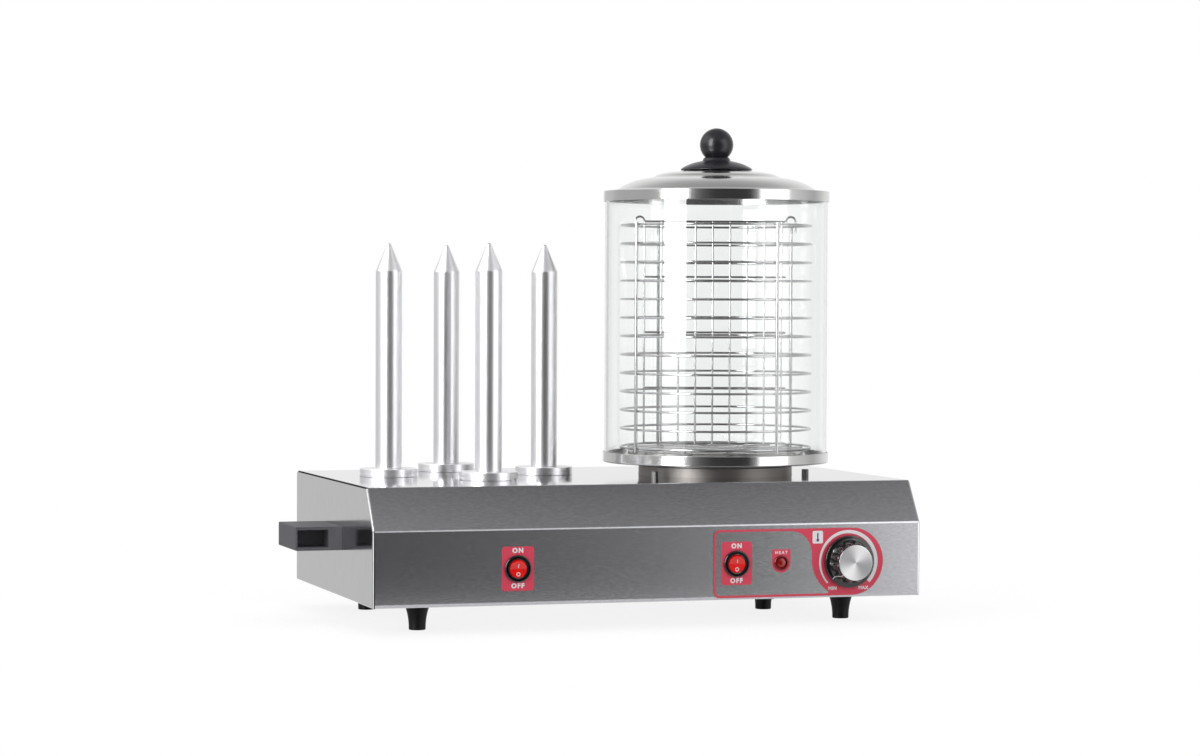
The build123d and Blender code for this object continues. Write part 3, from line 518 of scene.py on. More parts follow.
@dataclass(frozen=True)
class Moulded:
    """Moulded plastic or rubber with a spark-eroded texture."""

    name: str
    colour: tuple[float, float, float]
    roughness: float
    pitch: float = 1600.0
    depth: float = 0.00003
    specular: float = 0.5
    coat: float = 0.0

    def make(self) -> bpy.types.Material:
        """Builds the material."""
        mix = Recipe(self.name)
        texture = mix.noise((self.pitch,) * 3, 2.0, 0.6)
        cloud = mix.noise((60.0,) * 3, 2.0, 0.5)
        lighter = tuple(min(1.0, value * 1.25 + 0.004) for value in self.colour)
        return mix.close(
            Base_Color=mix.blend(cloud, self.colour, lighter),
            Roughness=self.roughness - 0.04 + cloud * 0.08,
            Specular_IOR_Level=self.specular,
            Coat_Weight=self.coat,
            Normal=mix.relief(texture, self.depth, 0.5),
        )


@dataclass(frozen=True)
class ClearRed:
    """Tinted clear plastic of a rocker or a lamp."""

    name: str
    colour: tuple[float, float, float]
    depth_colour: tuple[float, float, float]
    # strength of the emission; on the rocker it is painted glow, since no lamp lights it
    glow: float = 0.0

    def make(self) -> bpy.types.Material:
        """Builds the material."""
        mix = Recipe(self.name)
        flow = mix.noise((220.0,) * 3, 3.0, 0.6)
        return mix.close(
            Base_Color=mix.blend(flow, self.depth_colour, self.colour),
            Roughness=0.1 + flow * 0.06,
            Coat_Weight=0.2,
            # Emission paints a glow into the plastic; the rocker glows though no lamp lights it
            Emission_Color=mix.blend(flow, self.depth_colour, self.colour),
            Emission_Strength=self.glow,
            Normal=mix.relief(flow, 0.0001, 0.25),
        )


@dataclass(frozen=True)
class ClearGlass:
    """Drawn heat-proof glass with a faint green edge."""

    name: str = "clear_glass"

    def make(self) -> bpy.types.Material:
        """Builds the material."""
        mix = Recipe(self.name)
        wave = mix.noise((9.0, 9.0, 2.0), 2.0, 0.4)
        return mix.close(
            Base_Color=mix.blend(wave, (0.975, 0.99, 0.985), (0.99, 1.0, 0.995)),
            Roughness=0.0,
            IOR=1.47,
            Transmission_Weight=1.0,
            Normal=mix.relief(wave, 0.0004, 0.15),
        )


@dataclass(frozen=True)
class Ink:
    """Opaque print with a slightly uneven lay."""

    name: str
    colour: tuple[float, float, float]
    roughness: float = 0.42

    def make(self) -> bpy.types.Material:
        """Builds the material."""
        mix = Recipe(self.name)
        lay = mix.noise((420.0,) * 3, 3.0, 0.6)
        darker = tuple(0.9 * value for value in self.colour)
        return mix.close(
            Base_Color=mix.blend(lay, darker, self.colour),
            Roughness=self.roughness - 0.05 + lay * 0.1,
            Normal=mix.relief(lay, 0.00001, 0.4),
        )


# ------------------------------------------------------------------ modelling
class Facing(Enum):
    """Way that a turned piece's axis points."""

    UP = (0.0, 0.0, 0.0)
    FRONT = (math.pi / 2, 0.0, 0.0)
    RIGHT = (0.0, math.pi / 2, 0.0)


def begin() -> None:
    """Leaves object mode with nothing selected."""
    if bpy.context.object and bpy.context.object.mode != "OBJECT":
        bpy.ops.object.mode_set(mode="OBJECT")
    bpy.ops.object.select_all(action="DESELECT")


def only(piece: bpy.types.Object) -> None:
    """Selects one piece and makes it the active one.

    Args:
        piece: The piece.
    """
    begin()
    piece.select_set(True)
    bpy.context.view_layer.objects.active = piece


def edit(mode: str = "VERT") -> None:
    """Opens the active piece in edit mode with nothing selected.

    Args:
        mode: Kind of element to select.
    """
    bpy.ops.object.mode_set(mode="EDIT")
    bpy.ops.mesh.select_mode(type=mode)
    bpy.ops.mesh.select_all(action="DESELECT")


def pick_faces(piece: bpy.types.Object, test: Callable[[bpy.types.MeshPolygon], bool]) -> None:
    """Selects faces of the active piece and opens it in edit mode.

    Args:
        piece: The active piece.
        test: True for a face that is wanted.
    """
    edit("FACE")
    bpy.ops.object.mode_set(mode="OBJECT")
    for face in piece.data.polygons:
        face.select = test(face)
    bpy.ops.object.mode_set(mode="EDIT")


def pick_edges(piece: bpy.types.Object, test: Callable[[list[Vector]], bool]) -> None:
    """Selects edges of the active piece and opens it in edit mode.

    Args:
        piece: The active piece.
        test: True for the two ends of an edge that is wanted, in millimetres.
    """
    edit("EDGE")
    bpy.ops.object.mode_set(mode="OBJECT")
    for edge in piece.data.edges:
        edge.select = test([piece.data.vertices[index].co / MM for index in edge.vertices])
    bpy.ops.object.mode_set(mode="EDIT")


def bevel_picked(width: float, steps: int) -> None:
    """Rounds the selected edges and goes back to object mode.

    Args:
        width: Width of the rounding in millimetres.
        steps: Segments across it.
    """
    bpy.ops.mesh.bevel(offset=width * MM, segments=steps, affect="EDGES")
    bpy.ops.object.mode_set(mode="OBJECT")


def apply_all(piece: bpy.types.Object) -> None:
    """Applies the piece's modifiers in order.

    Args:
        piece: The piece.
    """
    only(piece)
    for modifier in list(piece.modifiers):
        bpy.ops.object.modifier_apply(modifier=modifier.name)


def bake_place(piece: bpy.types.Object) -> None:
    """Moves the piece's place, turn and scale into its mesh.

    Args:
        piece: The piece.
    """
    only(piece)
    bpy.ops.object.transform_apply(location=True, rotation=True, scale=True)


def outward() -> None:
    """Points the active piece's faces outwards."""
    bpy.ops.object.mode_set(mode="EDIT")
    bpy.ops.mesh.select_all(action="SELECT")
    bpy.ops.mesh.remove_doubles(threshold=2 * CLOSE * MM)
    bpy.ops.mesh.normals_make_consistent(inside=False)
    bpy.ops.object.mode_set(mode="OBJECT")


def smooth(piece: bpy.types.Object, angle: float = 34.0) -> None:
    """Smooths a piece except at its sharp edges.

    Args:
        piece: The piece.
        angle: Sharpest smoothed edge in degrees.
    """
    only(piece)
    bpy.ops.object.shade_smooth_by_angle(angle=math.radians(angle))
    weighted = piece.modifiers.new("even shading", "WEIGHTED_NORMAL")
    weighted.keep_sharp = True
    weighted.weight = 80
    apply_all(piece)


def round_edges(piece: bpy.types.Object, width: float, steps: int = 3, angle: float = 35.0) -> None:
    """Rounds the sharp edges of a piece.

    Args:
        piece: The piece.
        width: Width of the rounding in millimetres.
        steps: Segments across it.
        angle: Least angle of an edge that is rounded.
    """
    bevel = piece.modifiers.new("rounding", "BEVEL")
    bevel.width = width * MM
    bevel.segments = steps
    bevel.limit_method = "ANGLE"
    bevel.angle_limit = math.radians(angle)
    bevel.harden_normals = False
    apply_all(piece)


def dress(
    piece: bpy.types.Object,
    name: str,
    body: str,
    material: bpy.types.Material,
    replaced: Sequence[str] = (),
) -> bpy.types.Object:
    """Names a finished piece, gives it its material and lets it ride on its body.

    Args:
        piece: The piece.
        name: Its name.
        body: The body it moves with.
        material: Its material.
        replaced: CAD nodes that it stands for.

    Returns:
        The piece.
    """
    piece.name = name
    piece.data.name = name
    piece.data.materials.clear()
    piece.data.materials.append(material)
    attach(piece, body)
    if replaced:
        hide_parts(*replaced)
    LOG.info("%s: %d faces on %s", name, len(piece.data.polygons), body)
    return piece


def arc(centre: Point, radius: float, start: float, end: float, steps: int) -> list[Point]:
    """Points of a circular arc in a profile.

    Args:
        centre: Its centre.
        radius: Its radius.
        start: First angle in degrees.
        end: Last angle in degrees.
        steps: Number of intervals.

    Returns:
        The points from start to end.
    """
    points = []
    for index in range(steps + 1):
        angle = math.radians(start + (end - start) * index / steps)
        points.append((centre[0] + radius * math.cos(angle), centre[1] + radius * math.sin(angle)))
    return points


def turned(
    profile: Sequence[Point],
    centre: Sequence[float],
    facing: Facing = Facing.UP,
    sides: int = 96,
    ring: bool = False,
) -> bpy.types.Object:
    """Spins up a piece by extruding and resizing a circle along a profile.

    Args:
        profile: Radius and height of each ring, in millimetres.
        centre: Place of the profile's zero, in millimetres.
        facing: Way that the heights run.
        sides: Sides of the circle.
        ring: True if the profile closes on itself.

    Returns:
        The closed piece.
    """
    begin()
    rows = [(max(radius, TIP) * MM, height * MM) for radius, height in profile]
    if ring:
        rows.append(rows[0])
    bpy.ops.mesh.primitive_circle_add(vertices=sides, radius=rows[0][0], location=(0, 0, rows[0][1]))
    piece = bpy.context.object
    bake_place(piece)
    edit()
    bpy.ops.mesh.select_all(action="SELECT")
    for (radius, height), (following, level) in zip(rows, rows[1:]):
        bpy.ops.mesh.extrude_region_move(TRANSFORM_OT_translate={"value": (0, 0, level - height)})
        factor = following / radius
        if abs(factor - 1.0) > 1e-9:
            bpy.ops.transform.resize(value=(factor, factor, 1.0), center_override=(0, 0, level))
    if not ring:
        bpy.ops.mesh.select_all(action="SELECT")
        bpy.ops.mesh.fill_holes(sides=0)
    bpy.ops.object.mode_set(mode="OBJECT")
    outward()
    piece.rotation_euler = facing.value
    piece.location = Vector(centre) * MM
    bake_place(piece)
    return piece


def block(low: Sequence[float], high: Sequence[float]) -> bpy.types.Object:
    """Adds a box between two corners in millimetres.

    Args:
        low: Lowest corner.
        high: Highest corner.

    Returns:
        The box.
    """
    begin()
    middle = [(a + b) / 2 * MM for a, b in zip(low, high)]
    span = [(b - a) * MM for a, b in zip(low, high)]
    bpy.ops.mesh.primitive_cube_add(size=1.0, location=middle, scale=span)
    piece = bpy.context.object
    bake_place(piece)
    return piece


def cylinder(
    centre: Sequence[float],
    radius: float,
    depth: float,
    sides: int,
    rotation: Sequence[float] = Facing.UP.value,
) -> bpy.types.Object:
    """Adds a cylinder in millimetres.

    Args:
        centre: Its centre.
        radius: Its radius.
        depth: Its length.
        sides: Sides of its section.
        rotation: Turn of its axis from the vertical, as Euler angles.

    Returns:
        The cylinder.
    """
    begin()
    bpy.ops.mesh.primitive_cylinder_add(
        vertices=sides,
        radius=radius * MM,
        depth=depth * MM,
        location=Vector(centre) * MM,
        rotation=rotation,
    )
    piece = bpy.context.object
    bake_place(piece)
    return piece


def shift(piece: bpy.types.Object, move: Sequence[float], turn: float = 0.0) -> None:
    """Tips a piece about the X axis and then moves it.

    Args:
        piece: The piece.
        move: The move in millimetres.
        turn: The turn about the X axis through the origin, in degrees.
    """
    tipped = Matrix.Rotation(math.radians(turn), 4, "X")
    piece.data.transform(Matrix.Translation(Vector(move) * MM) @ tipped)


def twin(piece: bpy.types.Object, move: Sequence[float]) -> bpy.types.Object:
    """Copies a piece with its own mesh.

    Args:
        piece: The original.
        move: How far the copy stands from it, in millimetres.

    Returns:
        The copy.
    """
    copy = piece.copy()
    copy.data = piece.data.copy()
    bpy.context.scene.collection.objects.link(copy)
    shift(copy, move)
    return copy


def joined(pieces: Iterable[bpy.types.Object]) -> bpy.types.Object:
    """Joins pieces into one.

    Args:
        pieces: The pieces.

    Returns:
        The joined piece.
    """
    parts = list(pieces)
    begin()
    for part in parts:
        part.select_set(True)
    bpy.context.view_layer.objects.active = parts[0]
    if len(parts) > 1:
        bpy.ops.object.join()
    return bpy.context.object


def cut(piece: bpy.types.Object, tools: Iterable[bpy.types.Object]) -> None:
    """Cuts tools out of a piece and removes them.

    Args:
        piece: The piece.
        tools: The cutting solids.
    """
    for tool in tools:
        boolean = piece.modifiers.new("cut", "BOOLEAN")
        boolean.operation = "DIFFERENCE"
        boolean.object = tool
        boolean.solver = "EXACT"
        apply_all(piece)
        bpy.data.objects.remove(tool)


def rod(start: Sequence[float], end: Sequence[float], radius: float, sides: int = 12) -> bpy.types.Object:
    """Adds a round wire between two points, with rounded ends.

    Args:
        start: First point in millimetres.
        end: Last point in millimetres.
        radius: Its radius in millimetres.
        sides: Sides of its section.

    Returns:
        The wire.
    """
    first, last = Vector(start), Vector(end)
    run = last - first
    lie = run.to_track_quat("Z", "Y").to_euler()
    piece = cylinder((first + last) / 2, radius, run.length, sides, lie)
    round_edges(piece, radius * 0.35, 2)
    return piece


def bent_wire(points: Sequence[Sequence[float]], radius: float) -> bpy.types.Object:
    """Adds a round wire through points in millimetres.

    Args:
        points: The points.
        radius: Its radius in millimetres.

    Returns:
        The wire as a mesh.
    """
    begin()
    bpy.ops.curve.primitive_nurbs_path_add()
    path = bpy.context.object
    path.data.splines.clear()
    spline = path.data.splines.new("POLY")
    spline.points.add(len(points) - 1)
    for knot, point in zip(spline.points, points):
        knot.co = (*(Vector(point) * MM), 1.0)
    path.data.bevel_depth = radius * MM
    path.data.bevel_resolution = 4
    path.data.use_fill_caps = True
    only(path)
    bpy.ops.object.convert(target="MESH")
    piece = bpy.context.object
    bake_place(piece)
    outward()
    return piece


def printed(outlines: Sequence[Sequence[Point]], level: float, height: float) -> bpy.types.Object:
    """Adds a flat print that faces the front.

    Args:
        outlines: Closed outlines as X and Z in millimetres; an inner one is a hole.
        level: Y of its back in millimetres.
        height: Its thickness in millimetres.

    Returns:
        The print as a mesh.
    """
    begin()
    bpy.ops.curve.primitive_bezier_circle_add()
    sheet = bpy.context.object
    sheet.data.splines.clear()
    sheet.data.dimensions = "2D"
    sheet.data.fill_mode = "BOTH"
    sheet.data.extrude = height / 2 * MM
    for outline in outlines:
        spline = sheet.data.splines.new("POLY")
        spline.points.add(len(outline) - 1)
        for knot, (across, up) in zip(spline.points, outline):
            knot.co = (across * MM, up * MM, 0.0, 1.0)
        spline.use_cyclic_u = True
    only(sheet)
    bpy.ops.object.convert(target="MESH")
    piece = bpy.context.object
    piece.rotation_euler = Facing.FRONT.value
    piece.location = (0, (level - height / 2) * MM, 0)
    bake_place(piece)
    outward()
    return piece


def lettered(
    word: str,
    size: float,
    place: Point,
    level: float,
    height: float,
    weight: float = 0.055,
    spacing: float = 1.3,
) -> bpy.types.Object:
    """Adds a printed word that faces the front.

    Args:
        word: The word.
        size: Letter size in millimetres.
        place: X and Z of its middle.
        level: Y of its back.
        height: Its thickness.
        weight: Share of the size by which the strokes grow.
        spacing: How far apart the letters stand, 1 being the font's own.

    Returns:
        The word as a mesh.
    """
    begin()
    bpy.ops.object.text_add()
    text = bpy.context.object
    text.data.body = word
    text.data.size = size * MM
    text.data.align_x = "CENTER"
    text.data.align_y = "CENTER"
    text.data.space_character = spacing
    text.data.offset = weight * size * MM
    text.data.extrude = height / 2 * MM
    only(text)
    bpy.ops.object.convert(target="MESH")
    piece = bpy.context.object
    piece.rotation_euler = Facing.FRONT.value
    piece.location = (place[0] * MM, (level - height / 2) * MM, place[1] * MM)
    bake_place(piece)
    outward()
    return piece


def circle(centre: Point, radius: float, sides: int = 24) -> list[Point]:
    """Outline of a full circle.

    Args:
        centre: Its centre.
        radius: Its radius.
        sides: Number of its points.

    Returns:
        The points, each once, anticlockwise.
    """
    return arc(centre, radius, 0, 360 - 360 / sides, sides - 1)


def rounded_box(low: Point, high: Point, radius: float, steps: int = 6) -> list[Point]:
    """Outline of a rectangle with round corners.

    Args:
        low: Lowest corner.
        high: Highest corner.
        radius: Corner radius.
        steps: Intervals of each corner.

    Returns:
        The outline, anticlockwise.
    """
    (x0, z0), (x1, z1) = low, high
    return (
        arc((x1 - radius, z0 + radius), radius, -90, 0, steps)
        + arc((x1 - radius, z1 - radius), radius, 0, 90, steps)
        + arc((x0 + radius, z1 - radius), radius, 90, 180, steps)
        + arc((x0 + radius, z0 + radius), radius, 180, 270, steps)
    )


# ------------------------------------------------------------------ finishes in use
class Palette:
    """The materials, each made once."""

    def __init__(self) -> None:
        """Makes every finish."""
        # the sheet's slope carries painted shade, darker towards its top
        sheet = BrushedSteel("sheet_steel_painted_slope_shade", (0.515, 0.515, 0.54), polished_above=0.1222, painted_slope_shade=0.28)
        side = BrushedSteel("side_steel", (0.6, 0.6, 0.61), Grain.ALONG_Z, 0.12, 0.000004, 0.06)
        self.sheet = sheet.make()
        self.side = side.make()
        self.pressed = PolishedSteel("pressed_steel").make()
        self.plate = PolishedSteel("plate_steel", (0.5, 0.49, 0.48), 0.17).make()
        # basin steel darkened well below the other steel: painted reflection of the tray's dark underside
        # that the collar mirrors
        self.basin = PolishedSteel("basin_steel_painted_reflection", (0.29, 0.272, 0.255), 0.48).make()
        self.wire = BrightWire().make()
        self.spike = TurnedAluminium().make()
        self.disc = TurnedAluminium("disc_aluminium", (0.92, 0.92, 0.94), Grain.ALONG_X).make()
        self.zinc = BrushedSteel("zinc_steel", (0.5, 0.5, 0.48), Grain.ALONG_Z, 0.34).make()
        self.bolt = BrushedSteel("bolt_steel", (0.24, 0.235, 0.23), Grain.ALONG_Z, 0.3).make()
        self.heater = BrushedSteel("heater_sheath", (0.3, 0.29, 0.28), Grain.ALONG_Z, 0.45).make()
        self.rubber = Moulded("foot_rubber", (0.008, 0.008, 0.008), 0.5, 900.0, 0.00006, 0.22).make()
        self.seal = Moulded("silicone", (0.42, 0.1, 0.06), 0.5).make()
        # black of the side seams: painted shadow for the shade in the gap under the sheet's edge
        self.gap = Moulded("seam_painted_shadow", (0.006, 0.006, 0.007), 0.6, 900.0, 0.00002, 0.1).make()
        self.black = Moulded("satin_black", (0.014, 0.014, 0.018), 0.3, 1500.0, 0.00003, 0.42).make()
        self.handle = Moulded("handle_grey", (0.105, 0.103, 0.115), 0.5, 1300.0, 0.00004, 0.14).make()
        self.gloss = Moulded("gloss_black", (0.008, 0.008, 0.009), 0.12, 500.0, 0.00001, 0.5, 0.4).make()
        self.ivory = Moulded("ivory", (0.72, 0.7, 0.62), 0.45).make()
        self.film = BrushedSteel("silver_film", (0.43, 0.435, 0.445), Grain.ALONG_X, 0.24).make()
        self.red = Ink("red_print", (0.84, 0.058, 0.115)).make()
        self.white = Ink("white_print", (0.97, 0.97, 0.98)).make()
        self.violet = Ink("violet_print", (0.1, 0.04, 0.2)).make()
        # the rocker glows with painted light; no lamp sits behind it
        self.rocker = ClearRed("rocker_red_painted_glow", (0.9, 0.012, 0.01), (0.5, 0.002, 0.002), 0.22).make()
        self.lens = ClearRed("lens_red", (0.45, 0.01, 0.01), (0.2, 0.002, 0.002), 0.05).make()
        self.bezel = ClearRed("bezel_red", (0.3, 0.01, 0.015), (0.1, 0.001, 0.002)).make()
        self.glass = ClearGlass().make()


# ------------------------------------------------------------------ housing
@dataclass
class Housing:
    """Folded housing, its side panels and feet."""

    palette: Palette
    width: float = 488.0
    depth: float = 295.0
    bottom: float = 23.5
    fold: float = 87.5
    top: float = 122.5
    setback: float = 24.0
    sheet: float = 1.0
    bend_steps: int = 6
    bend: float = 1.3
    bottom_bend: float = 3.2
    edge_round: float = 2.0
    notch: float = 0.8
    ledge: float = 1.1
    # width of the black seam strip, which is painted shadow
    seal: float = 0.7
    seal_gap: float = 0.3
    lip: float = 15.0
    foot: Point = (192.0, 92.5)
    middle_foot: Point = (155.0, 3.0)
    foot_sole: float = 7.2
    foot_flare: float = 12.2
    foot_start: float = 2.0
    foot_top: float = 24.5
    foot_ease: float = 0.8
    foot_recess: float = 4.3
    foot_seat: float = 14.0
    foot_bore: float = 2.2
    screw: Point = (180.0, 140.0)
    basin: Point = (110.0, 8.0)
    basin_opening: float = 69.5

    @property
    def front(self) -> float:
        """Y of the front's face."""
        return -self.depth / 2

    def _form(self, low: float, high: float) -> bpy.types.Object:
        """Adds the housing's solid outline between two X places.

        Args:
            low: Left X.
            high: Right X.

        Returns:
            The solid with its slope.
        """
        piece = block((low, self.front, self.bottom), (high, -self.front, self.top))
        edit()
        bpy.ops.mesh.select_all(action="SELECT")
        rise, run = self.top - self.fold, self.setback
        length = math.hypot(rise, run)
        bpy.ops.mesh.bisect(
            plane_co=(0, self.front * MM, self.fold * MM),
            plane_no=(0, -rise / length, run / length),
            use_fill=True,
            clear_outer=True,
        )
        bpy.ops.object.mode_set(mode="OBJECT")
        outward()
        return piece

    def _is_bend(self, ends: Sequence[Vector], low: bool) -> bool:
        """Tells whether an edge of the folded sheet is a bend.

        Args:
            ends: The edge's two ends.
            low: True to ask about the lower edges, False about the fold and the top.

        Returns:
            True for a bend.
        """
        along = abs(ends[0].x - ends[1].x) > 100 * CLOSE
        corner = abs(abs(ends[0].y) + self.front) < CLOSE and ends[0].z < self.bottom + CLOSE
        return along and (corner if low else ends[0].z > self.fold - self.bend)

    def wrap(self) -> None:
        """Folds the front, slope, top and rear from one sheet."""
        half = self.width / 2 - self.edge_round
        piece = self._form(-half, half)
        only(piece)
        pick_faces(piece, lambda face: abs(face.normal.x) > 0.9 or face.normal.z < -0.9)
        bpy.ops.mesh.delete(type="ONLY_FACE")
        bpy.ops.object.mode_set(mode="OBJECT")
        for side in (-1, 1):
            corner = Vector((-side * self.front, self.bottom))
            pick_edges(piece, lambda ends: all((end.yz - corner).length < CLOSE for end in ends))
            bpy.ops.mesh.extrude_region_move(TRANSFORM_OT_translate={"value": (0, -side * self.lip * MM, 0)})
            bpy.ops.object.mode_set(mode="OBJECT")
        for low, bend in ((True, self.bottom_bend), (False, self.bend)):
            pick_edges(piece, lambda ends: self._is_bend(ends, low))
            bevel_picked(bend, self.bend_steps)
        outward()
        self._face_away(piece)
        shell = piece.modifiers.new("sheet", "SOLIDIFY")
        shell.thickness = self.sheet * MM
        shell.offset = -1.0
        shell.use_even_offset = True
        apply_all(piece)
        cut(piece, [cylinder((*self.basin, self.top), self.basin_opening, 20.0, 128)])
        smooth(piece, 25.0)
        # the sheet's finish paints shade onto the slope, darker towards its top
        dress(piece, "housing_sheet", "housing", self.palette.sheet, ["housing_wrap"])

    def _face_away(self, piece: bpy.types.Object) -> None:
        """Turns an open shell's faces away from the housing's middle.

        Args:
            piece: The shell.
        """
        top = max(piece.data.polygons, key=lambda face: face.center.z)
        if top.normal.z < 0:
            only(piece)
            edit("FACE")
            bpy.ops.mesh.select_all(action="SELECT")
            bpy.ops.mesh.flip_normals()
            bpy.ops.object.mode_set(mode="OBJECT")

    def sides(self) -> None:
        """Makes the two side panels, with a notch where two bends meet and a ledge along the top that holds a
        black strip: a real seam whose darkness is painted shadow.
        """
        fold = (self.front, self.fold)
        shoulder = (self.front + self.setback, self.top)
        front, rear = shoulder[0] + self.seal_gap, -self.front - 2 * self.seal_gap
        for name, sign in (("right_side_panel", 1), ("left_side_panel", -1)):
            outer = sign * self.width / 2
            inner = outer - sign * self.edge_round
            piece = self._form(min(inner, outer), max(inner, outer))
            only(piece)
            pick_edges(piece, lambda ends: all(abs(end.x - outer) < CLOSE for end in ends))
            bevel_picked(0.92 * self.edge_round, self.bend_steps)
            outward()
            tools = [
                cylinder((outer, y, z), self.notch, 2.4 * self.edge_round, 24, Facing.RIGHT.value)
                for y, z in (fold, shoulder)
            ]
            low, high = sorted((inner, outer + sign))
            step = (low - 10 * CLOSE, front, self.top - self.ledge)
            tools.append(block(step, (high, rear + 5, self.top + 1)))
            cut(piece, tools)
            smooth(piece, 30.0)
            dress(piece, f"{name}_skin", "housing", self.palette.side, [name])
            # Black strip in the ledge: a real seam, its darkness painted shadow for the gap under the sheet's
            # edge
            low, high = sorted((inner, inner + sign * self.seal))
            strip = block((low, front, self.top - self.ledge), (high, rear, self.top - 0.1))
            round_edges(strip, 0.15, 2)
            smooth(strip, 30.0)
            dress(strip, f"{name}_seal", "housing", self.palette.gap)

    def feet(self) -> None:
        """Turns the five rubber feet."""
        top, sole, rise = self.foot_top, self.foot_sole, self.foot_top - self.foot_start
        spread = self.foot_flare - sole
        sweep = (spread**2 + rise**2) / (2 * spread)
        last = math.degrees(math.asin(rise / sweep))
        ease, recess, seat, bore = self.foot_ease, self.foot_recess, self.foot_seat, self.foot_bore
        profile = (
            [(recess, seat), (recess, 0.6), (recess + 0.3, 0.0), (sole - ease, 0.0)]
            + arc((sole - ease, ease), ease, -90, 0, 4)
            + arc((sole + sweep, self.foot_start), sweep, 180, 180 - last, 10)
            + [(bore, top), (bore, seat)]
        )
        model = turned(profile, (0, 0, 0), sides=48, ring=True)
        smooth(model, 40.0)
        x, y = self.foot
        for node, place in {
            "front_left_foot": (-x, -y, 0),
            "front_right_foot": (x, -y, 0),
            "rear_left_foot": (-x, y, 0),
            "rear_right_foot": (x, y, 0),
            "middle_foot": (*self.middle_foot, 0),
        }.items():
            piece = twin(model, place)
            dress(piece, f"{node}_rubber", "housing", self.palette.rubber, [node])
        bpy.data.objects.remove(model)

    def screws(self) -> None:
        """Makes the base plate's countersunk screws."""
        head = [(0.0, 24.1), (1.2, 23.7), (1.2, 23.45), (2.7, 23.45), (2.7, 23.6), (1.5, 24.7)]
        model = turned([(0.0, 26.4), *head, (1.5, 26.4)], (0, 0, 0), sides=32)
        smooth(model, 30.0)
        x, y = self.screw
        piece = joined([twin(model, (across, along, 0)) for across in (-x, 0.0, x) for along in (-y, y)])
        bpy.data.objects.remove(model)
        dress(piece, "base_screws", "housing", self.palette.zinc, ["plate_screws"])

    def build(self) -> None:
        """Makes the housing's pieces."""
        self.screws()
        self.wrap()
        self.sides()
        self.feet()


# ------------------------------------------------------------------ handles
@dataclass
class Handles:
    """The two moulded carrying handles."""

    palette: Palette
    side: float
    reach: float = 41.0
    length: float = 70.0
    height: float = 20.4
    middle_y: float = -2.5
    middle_z: float = 74.3
    root: float = 12.3
    wall: float = 2.8
    outer_wall: float = 1.8
    corner: float = 1.2
    pocket: float = 24.0

    def build(self) -> None:
        """Moulds each handle with a pocket in either end."""
        low_y, high_y = self.middle_y - self.length / 2, self.middle_y + self.length / 2
        low_z, high_z = self.middle_z - self.height / 2, self.middle_z + self.height / 2
        for name, sign in (("right_handle", 1), ("left_handle", -1)):
            near, far = sign * self.side, sign * (self.side + self.reach)
            piece = block((min(near, far), low_y, low_z), (max(near, far), high_y, high_z))
            pick_edges(piece, lambda ends: all(abs(end.x - far) < CLOSE for end in ends))
            bevel_picked(self.corner, 5)
            outward()
            left, right = sorted((near + sign * self.root, far - sign * self.outer_wall))
            tools = []
            for start, end in ((low_y - 5, low_y + self.pocket), (high_y - self.pocket, high_y + 5)):
                tool = block((left, start, low_z + self.wall), (right, end, high_z - self.wall))
                round_edges(tool, 0.6, 3)
                tools.append(tool)
            cut(piece, tools)
            outward()
            round_edges(piece, 0.4, 2, 50.0)
            smooth(piece, 32.0)
            dress(piece, f"{name}_grip", "housing", self.palette.handle, [name])


